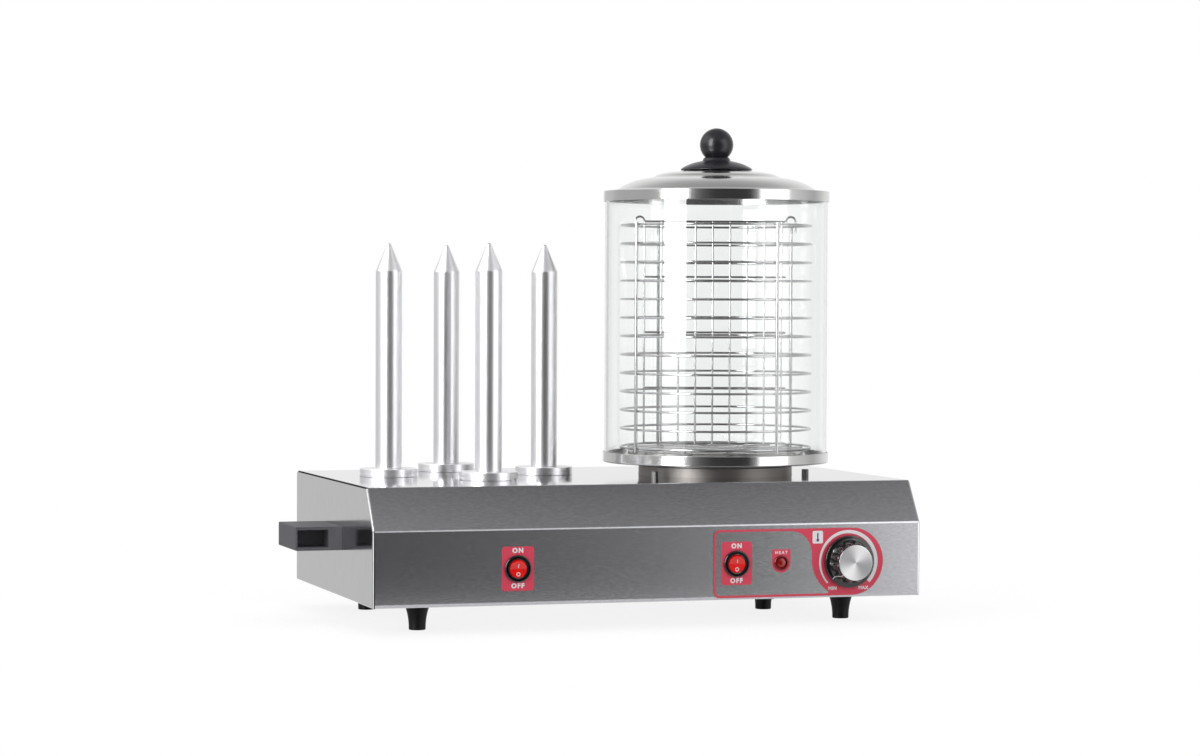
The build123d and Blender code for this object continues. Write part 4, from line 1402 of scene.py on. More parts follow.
# ------------------------------------------------------------------ front controls
@dataclass
class Controls:
    """Labels, rocker switches, lamp and thermostat knob."""

    palette: Palette
    front: float
    film: float = 0.4
    level: float = 54.5
    print_height: float = 0.06
    switches: dict[str, float] = field(default_factory=lambda: {"spike": -119.6, "heater": 74.5})
    rocker_radius: float = 8.0
    rocker_depth: float = 3.0
    rocker_tilt: float = 20.0
    lamp: float = 115.2
    knob: float = 177.0
    knob_gap: float = 0.8
    knob_front: float = -165.1
    flutes: int = 12
    flute_depth: float = 1.7
    grip_low: float = 3.9
    grip_inner: float = 15.7
    grip_outer: float = 19.2
    pointer_angle: float = 222.0
    dial_radius: float = 27.1
    dial_start: float = 223.6
    dial_end: float = -43.5
    dial_narrow: float = 1.4
    dial_wide: float = 4.2
    word: float = 5.4
    on_level: float = 69.6
    off_level: float = 40.0
    range_word: float = 3.9
    range_level: float = 31.4
    rocker_mark: float = 0.05

    def _ink(self, piece: bpy.types.Object, name: str, material: bpy.types.Material) -> None:
        """Dresses a print.

        Args:
            piece: The print.
            name: Its name.
            material: Its ink.
        """
        dress(piece, name, "housing", material)

    def prints(self) -> None:
        """Prints the red frame, the fields round the controls and the white markings."""
        face, high, level = self.front - self.film, self.print_height, self.level
        left, low, top, middle, corner = 59.0, 25.45, 83.55, 180.0, 5.0
        outline = (
            arc((middle, level), level - low, -90, 90, 28)
            + arc((left, top - corner), corner, 90, 180, 6)
            + arc((left, low + corner), corner, 180, 270, 6)
        )
        left, low, top, corner = 58.8, 27.3, 81.7, 3.0
        window = (
            [(left, low), (158.2, low), (158.6, 28.9)]
            + arc((178.0, 58.0), 35.0, 236.0, 186.0, 12)
            + arc((123.5, 62.0), 19.7, 0.0, 90.0, 14)
            + arc((left, top - corner), corner, 90.0, 180.0, 5)
            + arc((left, low + corner), corner, 180.0, 262.0, 5)
        )
        openings = [circle((self.knob, level), 3.6, 48)]
        openings += [circle((self.knob + side * 14, level), 1.7) for side in (-1, 1)]
        self._ink(printed([outline, window, *openings], face, high), "dial_field", self.palette.red)
        switch_hole = circle((self.switches["heater"], level), 10.2, 48)
        switch_shape = rounded_box((60.6, 36.4), (88.6, 73.4), 2.6)
        self._ink(printed([switch_shape, switch_hole], face, high), "switch_field", self.palette.red)
        lamp_shape = (
            arc((self.lamp, level), 8.4, 180, 360, 20)
            + arc((self.lamp + 7.4, 65.0), 1.0, 0, 90, 3)
            + arc((self.lamp - 7.4, 65.0), 1.0, 90, 180, 3)
        )
        lamp_hole = circle((self.lamp, level), 5.7)
        self._ink(printed([lamp_shape, lamp_hole], face, high), "lamp_field", self.palette.red)
        self._marks(face - high)

    def _marks(self, ink: float) -> None:
        """Prints the white words, the arc round the knob and the thermometer.

        Args:
            ink: Y of the red print's face.
        """
        label, high, white = self.front - self.film, self.print_height, self.palette.white
        for name, x in self.switches.items():
            back = label if name == "spike" else ink
            self._ink(lettered("ON", self.word, (x, self.on_level), back, high), f"{name}_on", white)
            self._ink(lettered("OFF", self.word, (x, self.off_level), back, high), f"{name}_off", white)
        for name, word, size, place, weight, spacing in (
            ("lamp_word", "HEAT", 3.5, (self.lamp, 63.2), 0.035, 1.5),
            ("lowest_word", "MIN", self.range_word, (162.4, self.range_level), 0.045, 1.15),
            ("highest_word", "MAX", self.range_word, (190.9, self.range_level), 0.045, 1.15),
        ):
            self._ink(lettered(word, size, place, ink, high, weight, spacing), name, white)
        self._ink(printed([self._dial()], ink, high), "dial_arc", white)
        sign_field = rounded_box((143.8, 70.4), (153.4, 81.3), 1.4)
        self._ink(printed([sign_field], ink, high), "thermometer_field", white)
        sign = 148.6
        stem = (
            arc((sign, 79.0), 0.6, 0, 180, 6)
            + [(sign - 0.6, 74.4)]
            + arc((sign, 73.3), 1.25, 118.7, 421.3, 16)
        )
        self._ink(printed([stem], ink - high, high), "thermometer_sign", self.palette.violet)

    def _dial(self) -> list[Point]:
        """Outline of the arc round the knob, which widens towards its highest setting.

        Returns:
            The outline.
        """
        steps = 90
        sweep = self.dial_end - self.dial_start
        outline = arc((self.knob, self.level), self.dial_radius, self.dial_start, self.dial_end, steps)
        for index in range(steps + 1):
            share = 1 - index / steps
            angle = math.radians(self.dial_start + sweep * share)
            radius = self.dial_radius - self.dial_narrow - (self.dial_wide - self.dial_narrow) * share
            outline.append((self.knob + radius * math.cos(angle), self.level + radius * math.sin(angle)))
        return outline

    def _switch(self, name: str, x: float) -> None:
        """Builds one round switch: its rim and then its rocker.

        Args:
            name: Which switch.
            x: Its place.
        """
        profile = (
            [(8.3, 0.3), (9.8, -0.1), (9.8, 0.0), (11.5, 0.0), (11.5, 0.7)]
            + arc((10.2, 0.9), 1.3, 0, 90, 6)
            + arc((9.2, 1.3), 0.9, 90, 180, 5)
        )
        rim = turned(profile, (x, self.front - self.film, self.level), Facing.FRONT, 72, True)
        smooth(rim, 40.0)
        dress(rim, f"{name}_switch_rim", "housing", self.palette.gloss)
        self._rocker(name, x)

    def _rocker(self, name: str, x: float) -> None:
        """Cuts one rocker from a ball, with its lower half pressed, and marks both halves.

        Args:
            name: Which switch.
            x: Its place.
        """
        pivot = self.front + 1.0
        face = pivot - self.rocker_depth
        begin()
        bpy.ops.mesh.primitive_uv_sphere_add(
            segments=64,
            ring_count=40,
            radius=self.rocker_radius * MM,
            location=Vector((x, pivot, self.level)) * MM,
        )
        rocker = bpy.context.object
        bake_place(rocker)
        lower = block((-15, -30, -30), (15, 0, 0))
        shift(lower, (x, face, self.level))
        upper = block((-15, -30, 0), (15, 0, 30))
        shift(upper, (x, face, self.level), self.rocker_tilt)
        back = block((x - 10, pivot + 3.0, self.level - 10), (x + 10, pivot + 10, self.level + 10))
        cut(rocker, [lower, upper, back])
        outward()
        round_edges(rocker, 0.35, 3, 40.0)
        smooth(rocker, 30.0)
        body, node, white = f"{name}_rocker", f"{name}_switch_rocker", self.palette.white
        # the key's material carries a painted glow
        dress(rocker, f"{name}_switch_key", body, self.palette.rocker, [node])
        middle = (x, self.level - 4.6)
        ring = printed([circle(middle, 1.7), circle(middle, 1.1)[::-1]], face, self.rocker_mark)
        dress(ring, f"{name}_zero", body, white)
        bar = printed([rounded_box((x - 0.3, -1.6), (x + 0.3, 1.6), 0.25, 3)], 0.0, self.rocker_mark)
        tilt, reach = math.radians(self.rocker_tilt), 2.6
        place = (0, face - reach * math.sin(tilt), self.level + reach * math.cos(tilt))
        shift(bar, place, self.rocker_tilt)
        dress(bar, f"{name}_one", body, white)

    def _lamp(self) -> None:
        """Builds the indicator lamp's rim and lens."""
        place = (self.lamp, self.front - self.film, self.level)
        profile = (
            [(4.55, -6.0), (5.4, -6.0), (5.4, 0.0), (6.5, 0.0), (6.5, 0.4)]
            + arc((5.6, 0.9), 0.9, 0, 90, 5)
            + [(5.2, 1.8), (4.6, 0.9)]
        )
        rim = turned(profile, place, Facing.FRONT, 56, True)
        smooth(rim, 40.0)
        dress(rim, "lamp_rim", "housing", self.palette.bezel, ["lamp_bezel"])
        dome = [(4.5, 0.0), (4.2, 0.5), (3.6, 0.9), (2.6, 1.2), (1.3, 1.36), (0.0, 1.4)]
        lens = turned([(0.0, -6.5), (4.5, -6.5), *dome], place, Facing.FRONT, 56)
        smooth(lens, 40.0)
        dress(lens, "lamp_dome", "housing", self.palette.lens, ["lamp_lens"])

    def _flute(self, knob: bpy.types.Object) -> None:
        """Presses the flutes into the grip of the knob, which still stands upright.

        Args:
            knob: The knob.
        """
        for vertex in knob.data.vertices:
            radius, height = vertex.co.xy.length / MM, vertex.co.z / MM
            if self.grip_inner < radius < self.grip_outer and height > self.grip_low:
                angle = math.atan2(vertex.co.y, vertex.co.x)
                wave = (0.5 + 0.5 * math.cos(self.flutes * angle)) ** 1.8
                fade = min(1.0, (height - self.grip_low) / 1.2) * min(1.0, (radius - self.grip_inner) / 0.6)
                factor = 1 - self.flute_depth * wave * fade / radius
                vertex.co.x *= factor
                vertex.co.y *= factor

    def _knob(self) -> None:
        """Builds the fluted knob, its cap and its pointer line."""
        back = self.front - self.film - self.knob_gap
        reach = back - self.knob_front
        profile = (
            [(0.0, 2.6), (19.5, 2.6), (19.5, 0.0), (22.1, 0.0), (22.5, 0.4), (22.5, 2.6)]
            + arc((21.7, 2.6), 0.8, 0, 90, 5)
            + [(20.3, 3.6), (19.3, 3.7), (18.7, 4.0), (18.4, 6.0), (17.9, 9.0), (17.4, 12.0), (17.0, 14.4)]
            + [(16.8, 15.2), (16.5, 15.7), (16.2, reach - 0.05), (15.45, reach)]
            + [(15.4, reach - 1.1), (0.0, reach - 1.1)]
        )
        knob = turned(profile, (0, 0, 0), Facing.UP, 144)
        self._flute(knob)
        knob.rotation_euler = Facing.FRONT.value
        knob.location = Vector((self.knob, back, self.level)) * MM
        bake_place(knob)
        outward()
        smooth(knob, 38.0)
        dress(knob, "thermostat_knob", "knob", self.palette.gloss, ["control_knob"])
        place = (self.knob, self.knob_front + 1.2, self.level)
        spun = [(0.0, 0.0), (15.3, 0.0), (15.3, 1.25), (15.1, 1.5), (14.7, 1.6), (14.2, 1.5), (0.0, 1.45)]
        cap = turned(spun, place, Facing.FRONT, 96)
        smooth(cap, 30.0)
        # the cap's sheen is painted into its colour
        dress(cap, "thermostat_cap", "knob", SpunCap(place).make(), ["knob_cap"])
        self._pointer(back, reach)

    def _pointer(self, back: float, reach: float) -> None:
        """Paints the pointer line down the knob's side.

        Args:
            back: Y of the knob's back.
            reach: Height of the knob above it.
        """
        angle = math.radians(self.pointer_angle)
        way = Vector((math.cos(angle), math.sin(angle)))
        side = Vector((-way.y, way.x))
        rows = [(15.5, reach + 0.03), (16.2, reach), (16.7, 15.7), (16.95, 14.4), (17.6, 11.0)]
        rows += [(18.3, 7.0), (18.75, 4.0), (19.4, 3.75), (21.9, 3.5)]
        corners = []
        for radius, height in rows:
            for half in (-0.35, 0.35):
                across, up = Vector((self.knob, self.level)) + way * (radius + 0.05) + side * half
                corners.append(Vector((across, back - height - 0.04, up)) * MM)
        faces = [(2 * row, 2 * row + 1, 2 * row + 3, 2 * row + 2) for row in range(len(rows) - 1)]
        begin()
        bpy.ops.mesh.primitive_plane_add(size=1.0)
        line = bpy.context.object
        line.data.clear_geometry()
        line.data.from_pydata(corners, [], faces)
        thick = line.modifiers.new("paint", "SOLIDIFY")
        thick.thickness = 0.08 * MM
        apply_all(line)
        outward()
        smooth(line, 30.0)
        dress(line, "knob_pointer", "knob", self.palette.white)

    def build(self) -> None:
        """Makes the front's pieces."""
        self.prints()
        for name, x in self.switches.items():
            self._switch(name, x)
        self._lamp()
        self._knob()


# ------------------------------------------------------------------ spikes
@dataclass
class Spikes:
    """Four heated bun spikes on their discs."""

    palette: Palette
    top: float
    middle: Point = (-113.0, 40.0)
    ring: float = 71.5
    radius: float = 11.7
    tip: float = 205.5
    cone: float = 24.0
    bore: float = 4.05
    bore_top: float = 135.1
    stem: float = 6.0
    stem_low: float = -8.0
    disc: float = 25.5
    disc_height: float = 7.0

    def _rod(self) -> bpy.types.Object:
        """Turns one bored spike with its stem.

        Returns:
            The spike on the axis.
        """
        seat, shoulder = self.disc_height, self.tip - self.cone
        profile = (
            [(0.0, self.bore_top), (self.bore, self.bore_top), (self.bore, self.stem_low)]
            + [(self.stem, self.stem_low), (self.stem, seat), (self.radius - 0.4, seat)]
            + [(self.radius, seat + 0.4), (self.radius, shoulder - 0.8)]
            + [(self.radius - 0.12, shoulder), (self.radius - 0.7, shoulder + 1.3)]
            + [(2.0, self.tip - 1.4), (1.6, self.tip - 0.5), (1.0, self.tip - 0.05), (0.0, self.tip)]
        )
        piece = turned(profile, (0, 0, self.top), sides=72)
        smooth(piece, 30.0)
        return piece

    def _plate(self) -> bpy.types.Object:
        """Turns one disc with the fine groove round its edge.

        Returns:
            The disc on the axis.
        """
        edge, top, hole = self.disc, self.disc_height, self.stem + 0.1
        profile = (
            [(hole, 0.0), (edge - 0.4, 0.0), (edge, 0.4)]
            + [(edge, 2.6), (edge - 0.25, 2.8), (edge - 0.25, 3.1), (edge, 3.3), (edge, top - 0.5)]
            + arc((edge - 0.5, top - 0.5), 0.5, 0, 90, 4)
            + [(hole, top)]
        )
        piece = turned(profile, (0, 0, self.top), sides=96, ring=True)
        smooth(piece, 30.0)
        return piece

    def build(self) -> None:
        """Turns one spike and one disc and sets the copies in place."""
        x, y = self.middle
        places = {
            "right": (x + self.ring, y, 0),
            "rear": (x, y + self.ring, 0),
            "left": (x - self.ring, y, 0),
            "front": (x, y - self.ring, 0),
        }
        kinds = (
            (self._rod(), "rod", "spike", self.palette.spike),
            (self._plate(), "plate", "spike_disc", self.palette.disc),
        )
        for name, place in places.items():
            for model, kind, node, finish in kinds:
                copy = twin(model, place)
                dress(copy, f"{name}_spike_{kind}", "housing", finish, [f"{name}_{node}"])
        for model, *_ in kinds:
            bpy.data.objects.remove(model)


# ------------------------------------------------------------------ steamer
@dataclass
class Steamer:
    """Basin, tray, steam plate, glass, basket, divider and lid."""

    palette: Palette
    x: float
    y: float
    top: float
    floor: float = 134.5
    gauge: float = 1.0
    bowl: float = 69.0
    bowl_low: float = 62.5
    bowl_corner: float = 8.0
    flange: float = 90.0
    flange_top: float = 120.5
    flange_gauge: float = 1.1
    stud: float = 3.0
    stud_length: float = 15.6
    bolt_circle: float = 82.0
    bolt_flats: float = 5.5
    bolt_head: float = 5.3
    bolt_length: float = 7.2
    bolt_shank: float = 1.95
    tray_radius: float = 101.5
    spigot: float = 66.5
    tray_centre: float = 10.0
    tray_holes: int = 10
    tray_hole: float = 5.0
    tray_hole_circle: float = 46.0
    plate_top: float = 144.3
    steam_hole: float = 2.4
    glass_top: float = 375.5
    glass_outer: float = 100.0
    glass_inner: float = 97.0
    lid_base: float = 376.5
    crown_rise: float = 18.3
    ball: float = 15.0
    ball_rise: float = 23.6
    ball_neck: float = 10.0
    ring_radius: float = 85.5
    wire: float = 1.0
    leg: float = 1.5
    rings: int = 13
    pitch: float = 16.55
    first_ring: float = 147.3
    turn: float = 18.0
    floor_wires: int = 7
    floor_pitch: float = 24.0
    divider_turn: float = 71.4
    divider_offset: float = 49.5
    divider_half: float = 65.3
    divider_pitch: float = 15.8
    divider_wires: int = 9
    divider_bars: int = 5
    bar_pitch: float = 50.7
    hook: float = 4.4

    def basin(self) -> None:
        """Spins the water basin with its collar and flange."""
        low, wall, radius, seat = self.bowl_low, self.gauge, self.bowl, self.flange_top
        corner = (radius - self.bowl_corner, low + self.bowl_corner)
        rim = self.floor - wall
        profile = (
            [(0.0, low), (corner[0], low)]
            + arc(corner, self.bowl_corner, -90, 0, 8)
            + [(radius, seat - self.flange_gauge), (self.flange, seat - self.flange_gauge)]
            + [(self.flange, seat), (radius, seat), (radius, rim - 3.2)]
            + arc((radius, rim - 1.6), 1.6, -80, 90, 10)
            + [(radius - 0.6, rim), (radius - wall, rim - 0.5), (radius - wall, corner[1])]
            + arc(corner, self.bowl_corner - wall, 0, -90, 8)
            + [(0.0, low + wall)]
        )
        piece = turned(profile, (self.x, self.y, 0), sides=128)
        smooth(piece, 35.0)
        foot, head = (self._spot(0.0, 0.0, level) for level in (low - self.stud_length, low + 0.1))
        stud = rod(foot, head, self.stud, 24)
        piece = joined([piece, stud])
        # the bowl's steel carries a painted reflection, darker than the rest
        dress(piece, "water_bowl", "housing", self.palette.basin, ["water_basin"])
        self._bolts()

    def _bolts(self) -> None:
        """Makes the hexagon screws round the collar."""
        middle = (0, 0, self.top + self.bolt_head / 2)
        head = cylinder(middle, self.bolt_flats / math.sqrt(3), self.bolt_head, 6)
        pick_faces(head, lambda face: face.normal.z > 0.9)
        bpy.ops.mesh.inset(thickness=0.45 * MM, depth=0.2 * MM)
        bpy.ops.object.mode_set(mode="OBJECT")
        round_edges(head, 0.15, 2, 20.0)
        shank = rod((0, 0, self.top - self.bolt_length), (0, 0, self.top + 0.1), self.bolt_shank, 20)
        model = joined([head, shank])
        smooth(model, 25.0)
        places = [self._spot(self.bolt_circle, angle, 0) for angle in (90.0, 210.0, 330.0)]
        piece = joined([twin(model, place) for place in places])
        bpy.data.objects.remove(model)
        dress(piece, "collar_screws", "housing", self.palette.bolt, ["basin_bolts"])

    def tray(self) -> None:
        """Spins the steam tray with its rolled rim and drills its floor."""
        low, high, edge, spigot = self.floor - self.gauge, self.floor, self.tray_radius, self.spigot
        bend = (edge - 1.5, high + 0.5)
        profile = (
            [(self.tray_centre, low), (spigot - 1, low), (spigot - 1, low - 6), (spigot, low - 6)]
            + [(spigot, low), (bend[0], low)]
            + arc(bend, 1.5, -90, 0, 6)
            + [(edge, high + 8.1)]
            + arc((edge - 0.5, high + 8.0), 0.5, 0, 180, 8)
            + [(edge - 1.0, bend[1])]
            + arc(bend, 0.5, 0, -90, 4)
            + [(self.tray_centre, high)]
        )
        piece = turned(profile, (self.x, self.y, 0), sides=160, ring=True)
        tools = []
        for index in range(self.tray_holes):
            place = self._spot(self.tray_hole_circle, 360.0 * index / self.tray_holes, (low + high) / 2)
            tools.append(cylinder(place, self.tray_hole, 10.0, 32))
        cut(piece, [joined(tools)])
        smooth(piece, 35.0)
        dress(piece, "tray", "tray", self.palette.pressed, ["steam_tray"])

    def plate(self) -> None:
        """Spins the perforated steam plate and drills its skirt and top."""
        top, low = self.plate_top, self.floor
        profile = (
            [(0.0, top), (77.6, top), (78.5, top - 0.2), (79.2, top - 0.9), (85.0, low), (83.9, low)]
            + [(78.3, top - 1.2), (77.6, top - 1.0), (0.0, top - 1.0)]
        )
        piece = turned(profile, (self.x, self.y, 0), sides=160)
        tools = []
        for count, radius, height, level_hole in ((20, 82.0, 139.4, True), (8, 38.0, 144.0, False)):
            for index in range(count):
                angle = 360.0 * index / count
                lie = (0, math.pi / 2, math.radians(angle)) if level_hole else Facing.UP.value
                tools.append(cylinder(self._spot(radius, angle, height), self.steam_hole, 12.0, 20, lie))
        cut(piece, [joined(tools)])
        smooth(piece, 35.0)
        dress(piece, "perforated_plate", "tray", self.palette.plate, ["steam_plate"])

    def glass(self) -> None:
        """Draws the glass cylinder with ground ends."""
        low, high, outer, inner = self.floor, self.glass_top, self.glass_outer, self.glass_inner
        ease = 0.4
        profile = [
            (outer - ease, low),
            (outer, low + ease),
            (outer, high - ease),
            (outer - ease, high),
            (inner + ease, high),
            (inner, high - ease),
            (inner, low + ease),
            (inner + ease, low),
        ]
        piece = turned(profile, (self.x, self.y, 0), sides=192, ring=True)
        smooth(piece, 30.0)
        dress(piece, "glass_tube", "glass", self.palette.glass, ["glass_cylinder"])

    def _spot(self, radius: float, angle: float, height: float) -> Vector:
        """Point about the cylinder's axis.

        Args:
            radius: Distance from the axis.
            angle: Its direction in degrees.
            height: Its height.

        Returns:
            The point in millimetres.
        """
        way = math.radians(angle)
        return Vector((self.x + radius * math.cos(way), self.y + radius * math.sin(way), height))

    def basket(self) -> None:
        """Welds the basket from rings, legs and floor wires."""
        begin()
        bpy.ops.mesh.primitive_torus_add(
            major_segments=120,
            minor_segments=10,
            major_radius=self.ring_radius * MM,
            minor_radius=self.wire * MM,
            location=self._spot(0.0, 0.0, self.first_ring) * MM,
        )
        ring = bpy.context.object
        bake_place(ring)
        parts = [twin(ring, (0, 0, index * self.pitch)) for index in range(1, self.rings)]
        parts.append(ring)
        last = self.first_ring + (self.rings - 1) * self.pitch
        reach = self.ring_radius + self.wire + self.leg - 0.3
        for index in range(4):
            angle = self.turn + 90 * index
            foot, head = (self._spot(reach, angle, level) for level in (self.floor, last + 2.0))
            parts.append(rod(foot, head, self.leg, 14))
        way = math.radians(self.turn)
        along = Vector((math.cos(way), math.sin(way), 0))
        side = Vector((-math.sin(way), math.cos(way), 0))
        centre = self._spot(0.0, 0.0, self.first_ring - 2 * self.wire + 0.3)
        for index in range(self.floor_wires):
            across = (index - self.floor_wires // 2) * self.floor_pitch
            half = math.sqrt(self.ring_radius**2 - across**2)
            middle = centre + side * across
            parts.append(rod(middle - along * half, middle + along * half, self.wire, 10))
        piece = joined(parts)
        smooth(piece, 40.0)
        dress(piece, "wire_basket", "basket", self.palette.wire, ["basket"])

    def divider(self) -> None:
        """Welds the flat divider and bends its two hooks."""
        way = math.radians(self.divider_turn)
        foot = self._spot(self.divider_offset, self.divider_turn, 0.0)
        side = Vector((math.sin(way), -math.cos(way), 0))
        back = Vector((math.cos(way), math.sin(way), 0))
        up = Vector((0, 0, 1))
        low = self.first_ring - 0.4
        bars = [low + self.wire + self.bar_pitch * index for index in range(self.divider_bars)]
        high, half = bars[-1], self.divider_half
        parts = []
        for index in range(self.divider_wires):
            base = foot + side * (index * self.divider_pitch - half)
            parts.append(rod(base + up * low, base + up * high, self.wire, 10))
        for height in bars:
            line = foot + back * 1.7 + up * height
            parts.append(rod(line - side * half, line + side * half, self.wire, 10))
        for end in (-1, 1):
            bend = arc((half + self.hook, high), self.hook, 180, 0, 12)
            points = [(half, high - 1), *bend, (half + 2 * self.hook, high - 11)]
            path = [foot + side * (end * across) + up * height for across, height in points]
            parts.append(bent_wire(path, self.wire))
        piece = joined(parts)
        smooth(piece, 40.0)
        dress(piece, "wire_divider", "divider", self.palette.wire, ["basket_divider"])

    def lid(self) -> None:
        """Spins the domed lid and its moulded knob."""
        base = self.lid_base
        crown = base + self.crown_rise
        dome = [(28.0, self.crown_rise), (36.0, 17.8), (43.0, 17.0), (48.8, 16.0), (52.0, 15.1), (54.2, 14.2)]
        dome += [(55.8, 13.2), (57.2, 12.5), (59.0, 12.15), (63.0, 11.55), (67.4, 10.7), (71.5, 9.8)]
        dome += [(75.4, 8.6), (79.3, 7.05), (82.8, 5.3), (86.2, 3.3), (88.2, 1.9), (89.6, 1.0)]
        dome += [(91.0, 0.4), (92.6, 0.1)]
        outer = (
            [(0.0, crown)]
            + [(radius, base + rise) for radius, rise in dome]
            + [(94.0, base), (101.0, base)]
            + arc((101.0, base - 0.5), 0.5, 75, 0, 4)
            + [(101.5, base - 9.0)]
            + arc((101.1, base - 9.0), 0.4, 0, -180, 5)
        )
        inner = (
            [(100.5, base - 1.4), (100.2, base - 1.0), (91.6, base - 1.0)]
            + [(radius - 0.4, base + rise - 1.0) for radius, rise in reversed(dome)]
            + [(0.0, crown - 1.0)]
        )
        piece = turned(outer + inner, (self.x, self.y, 0), sides=192)
        smooth(piece, 35.0)
        dress(piece, "domed_lid", "lid", self.palette.pressed, ["lid"])
        self._grip(crown)

    def _grip(self, crown: float) -> None:
        """Moulds the lid's knob, a ball on a wide foot.

        Args:
            crown: Height of the dome's top.
        """
        start = math.degrees(math.asin(self.ball_neck / self.ball)) - 90
        foot = [(30.5, 3.1), (27.0, 5.0), (23.0, 6.7), (19.0, 7.9), (15.0, 8.8), (12.9, 9.2)]
        foot += [(12.3, 9.9), (11.9, 11.2), (11.3, 11.9), (10.5, 12.4)]
        profile = (
            [(0.0, 0.0), (13.0, 0.0), (13.0, 0.8), (31.4, 0.8)]
            + arc((31.6, 1.4), 0.6, -90, 0, 4)
            + [(32.0, 1.9), *foot]
            + arc((0.0, self.ball_rise), self.ball, start, 90, 30)
        )
        knob = turned(profile, (self.x, self.y, crown), sides=96)
        smooth(knob, 35.0)
        dress(knob, "lid_grip", "lid", self.palette.black, ["lid_knob"])

    def build(self) -> None:
        """Makes the steamer's pieces."""
        self.basin()
        self.tray()
        self.plate()
        self.glass()
        self.basket()
        self.divider()
        self.lid()


# ------------------------------------------------------------------ what stays as packed
class Carried:
    """CAD nodes that stay as they are and only get their finish."""

    def __init__(self, palette: Palette, nodes: dict[str, bpy.types.Object]) -> None:
        """Keeps the palette and the nodes.

        Args:
            palette: The materials.
            nodes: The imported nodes.
        """
        self.nodes = nodes
        self.finishes = {
            palette.sheet: ["base_plate"],
            palette.zinc: [
                "foot_screws",
                "foot_nuts",
                "handle_screws",
                "thermostat_screws",
                "thermostat_shaft",
                "spike_nuts",
                "basin_nuts",
                "element_clamp",
                "clamp_nut",
                "lid_screw",
                "lamp_nut",
            ],
            palette.heater: ["heating_element", "spike_heaters", "thermostat_bulb", "thermal_cutout"],
            palette.seal: ["basin_gasket"],
            palette.black: ["cable_gland", "gland_nut", "thermostat_body"],
            palette.gloss: ["spike_switch_body", "heater_switch_body"],
            palette.film: ["control_foil"],
            palette.red: ["switch_label"],
            palette.ivory: ["terminal_block"],
        }

    def build(self) -> None:
        """Gives each node its finish."""
        for material, names in self.finishes.items():
            for name in names:
                node = self.nodes[name]
                node.data.materials.clear()
                node.data.materials.append(material)
                LOG.info("%s keeps its solid", name)


# ------------------------------------------------------------------ studio
def around(turn: float) -> float:
    """Share of a full round at which a direction stands, in degrees to the right of the front."""
    return 0.5 + turn / 360


def area_lamp(name: str, width: float, height: float, glow: float) -> bpy.types.Object:
    """Adds a rectangular lamp at the origin that shines down.

    Args:
        name: Its name.
        width: Its width in metres.
        height: Its height in metres.
        glow: Its radiance.

    Returns:
        The lamp.
    """
    lamp = bpy.data.lights.new(name, "AREA")
    lamp.shape = "RECTANGLE"
    lamp.size = width
    lamp.size_y = height
    lamp.energy = glow * math.pi * width * height
    lamp.normalize = True
    box = bpy.data.objects.new(name, lamp)
    bpy.context.scene.collection.objects.link(box)
    return box


@dataclass(frozen=True)
class Softbox:
    """An upright lamp that faces the object; lengths in metres, the turn in degrees right of the front."""

    name: str
    turn: float
    distance: float
    width: float
    low: float
    high: float
    glow: float

    def hang(self) -> bpy.types.Object:
        """Hangs the lamp in its place and returns it."""
        box = area_lamp(self.name, self.width, self.high - self.low, self.glow)
        way = math.radians(self.turn)
        across, along = math.sin(way) * self.distance, -math.cos(way) * self.distance
        box.location = (across, along, (self.low + self.high) / 2)
        box.rotation_euler = Vector((-across, -along, 0)).to_track_quat("-Z", "Y").to_euler()
        return box


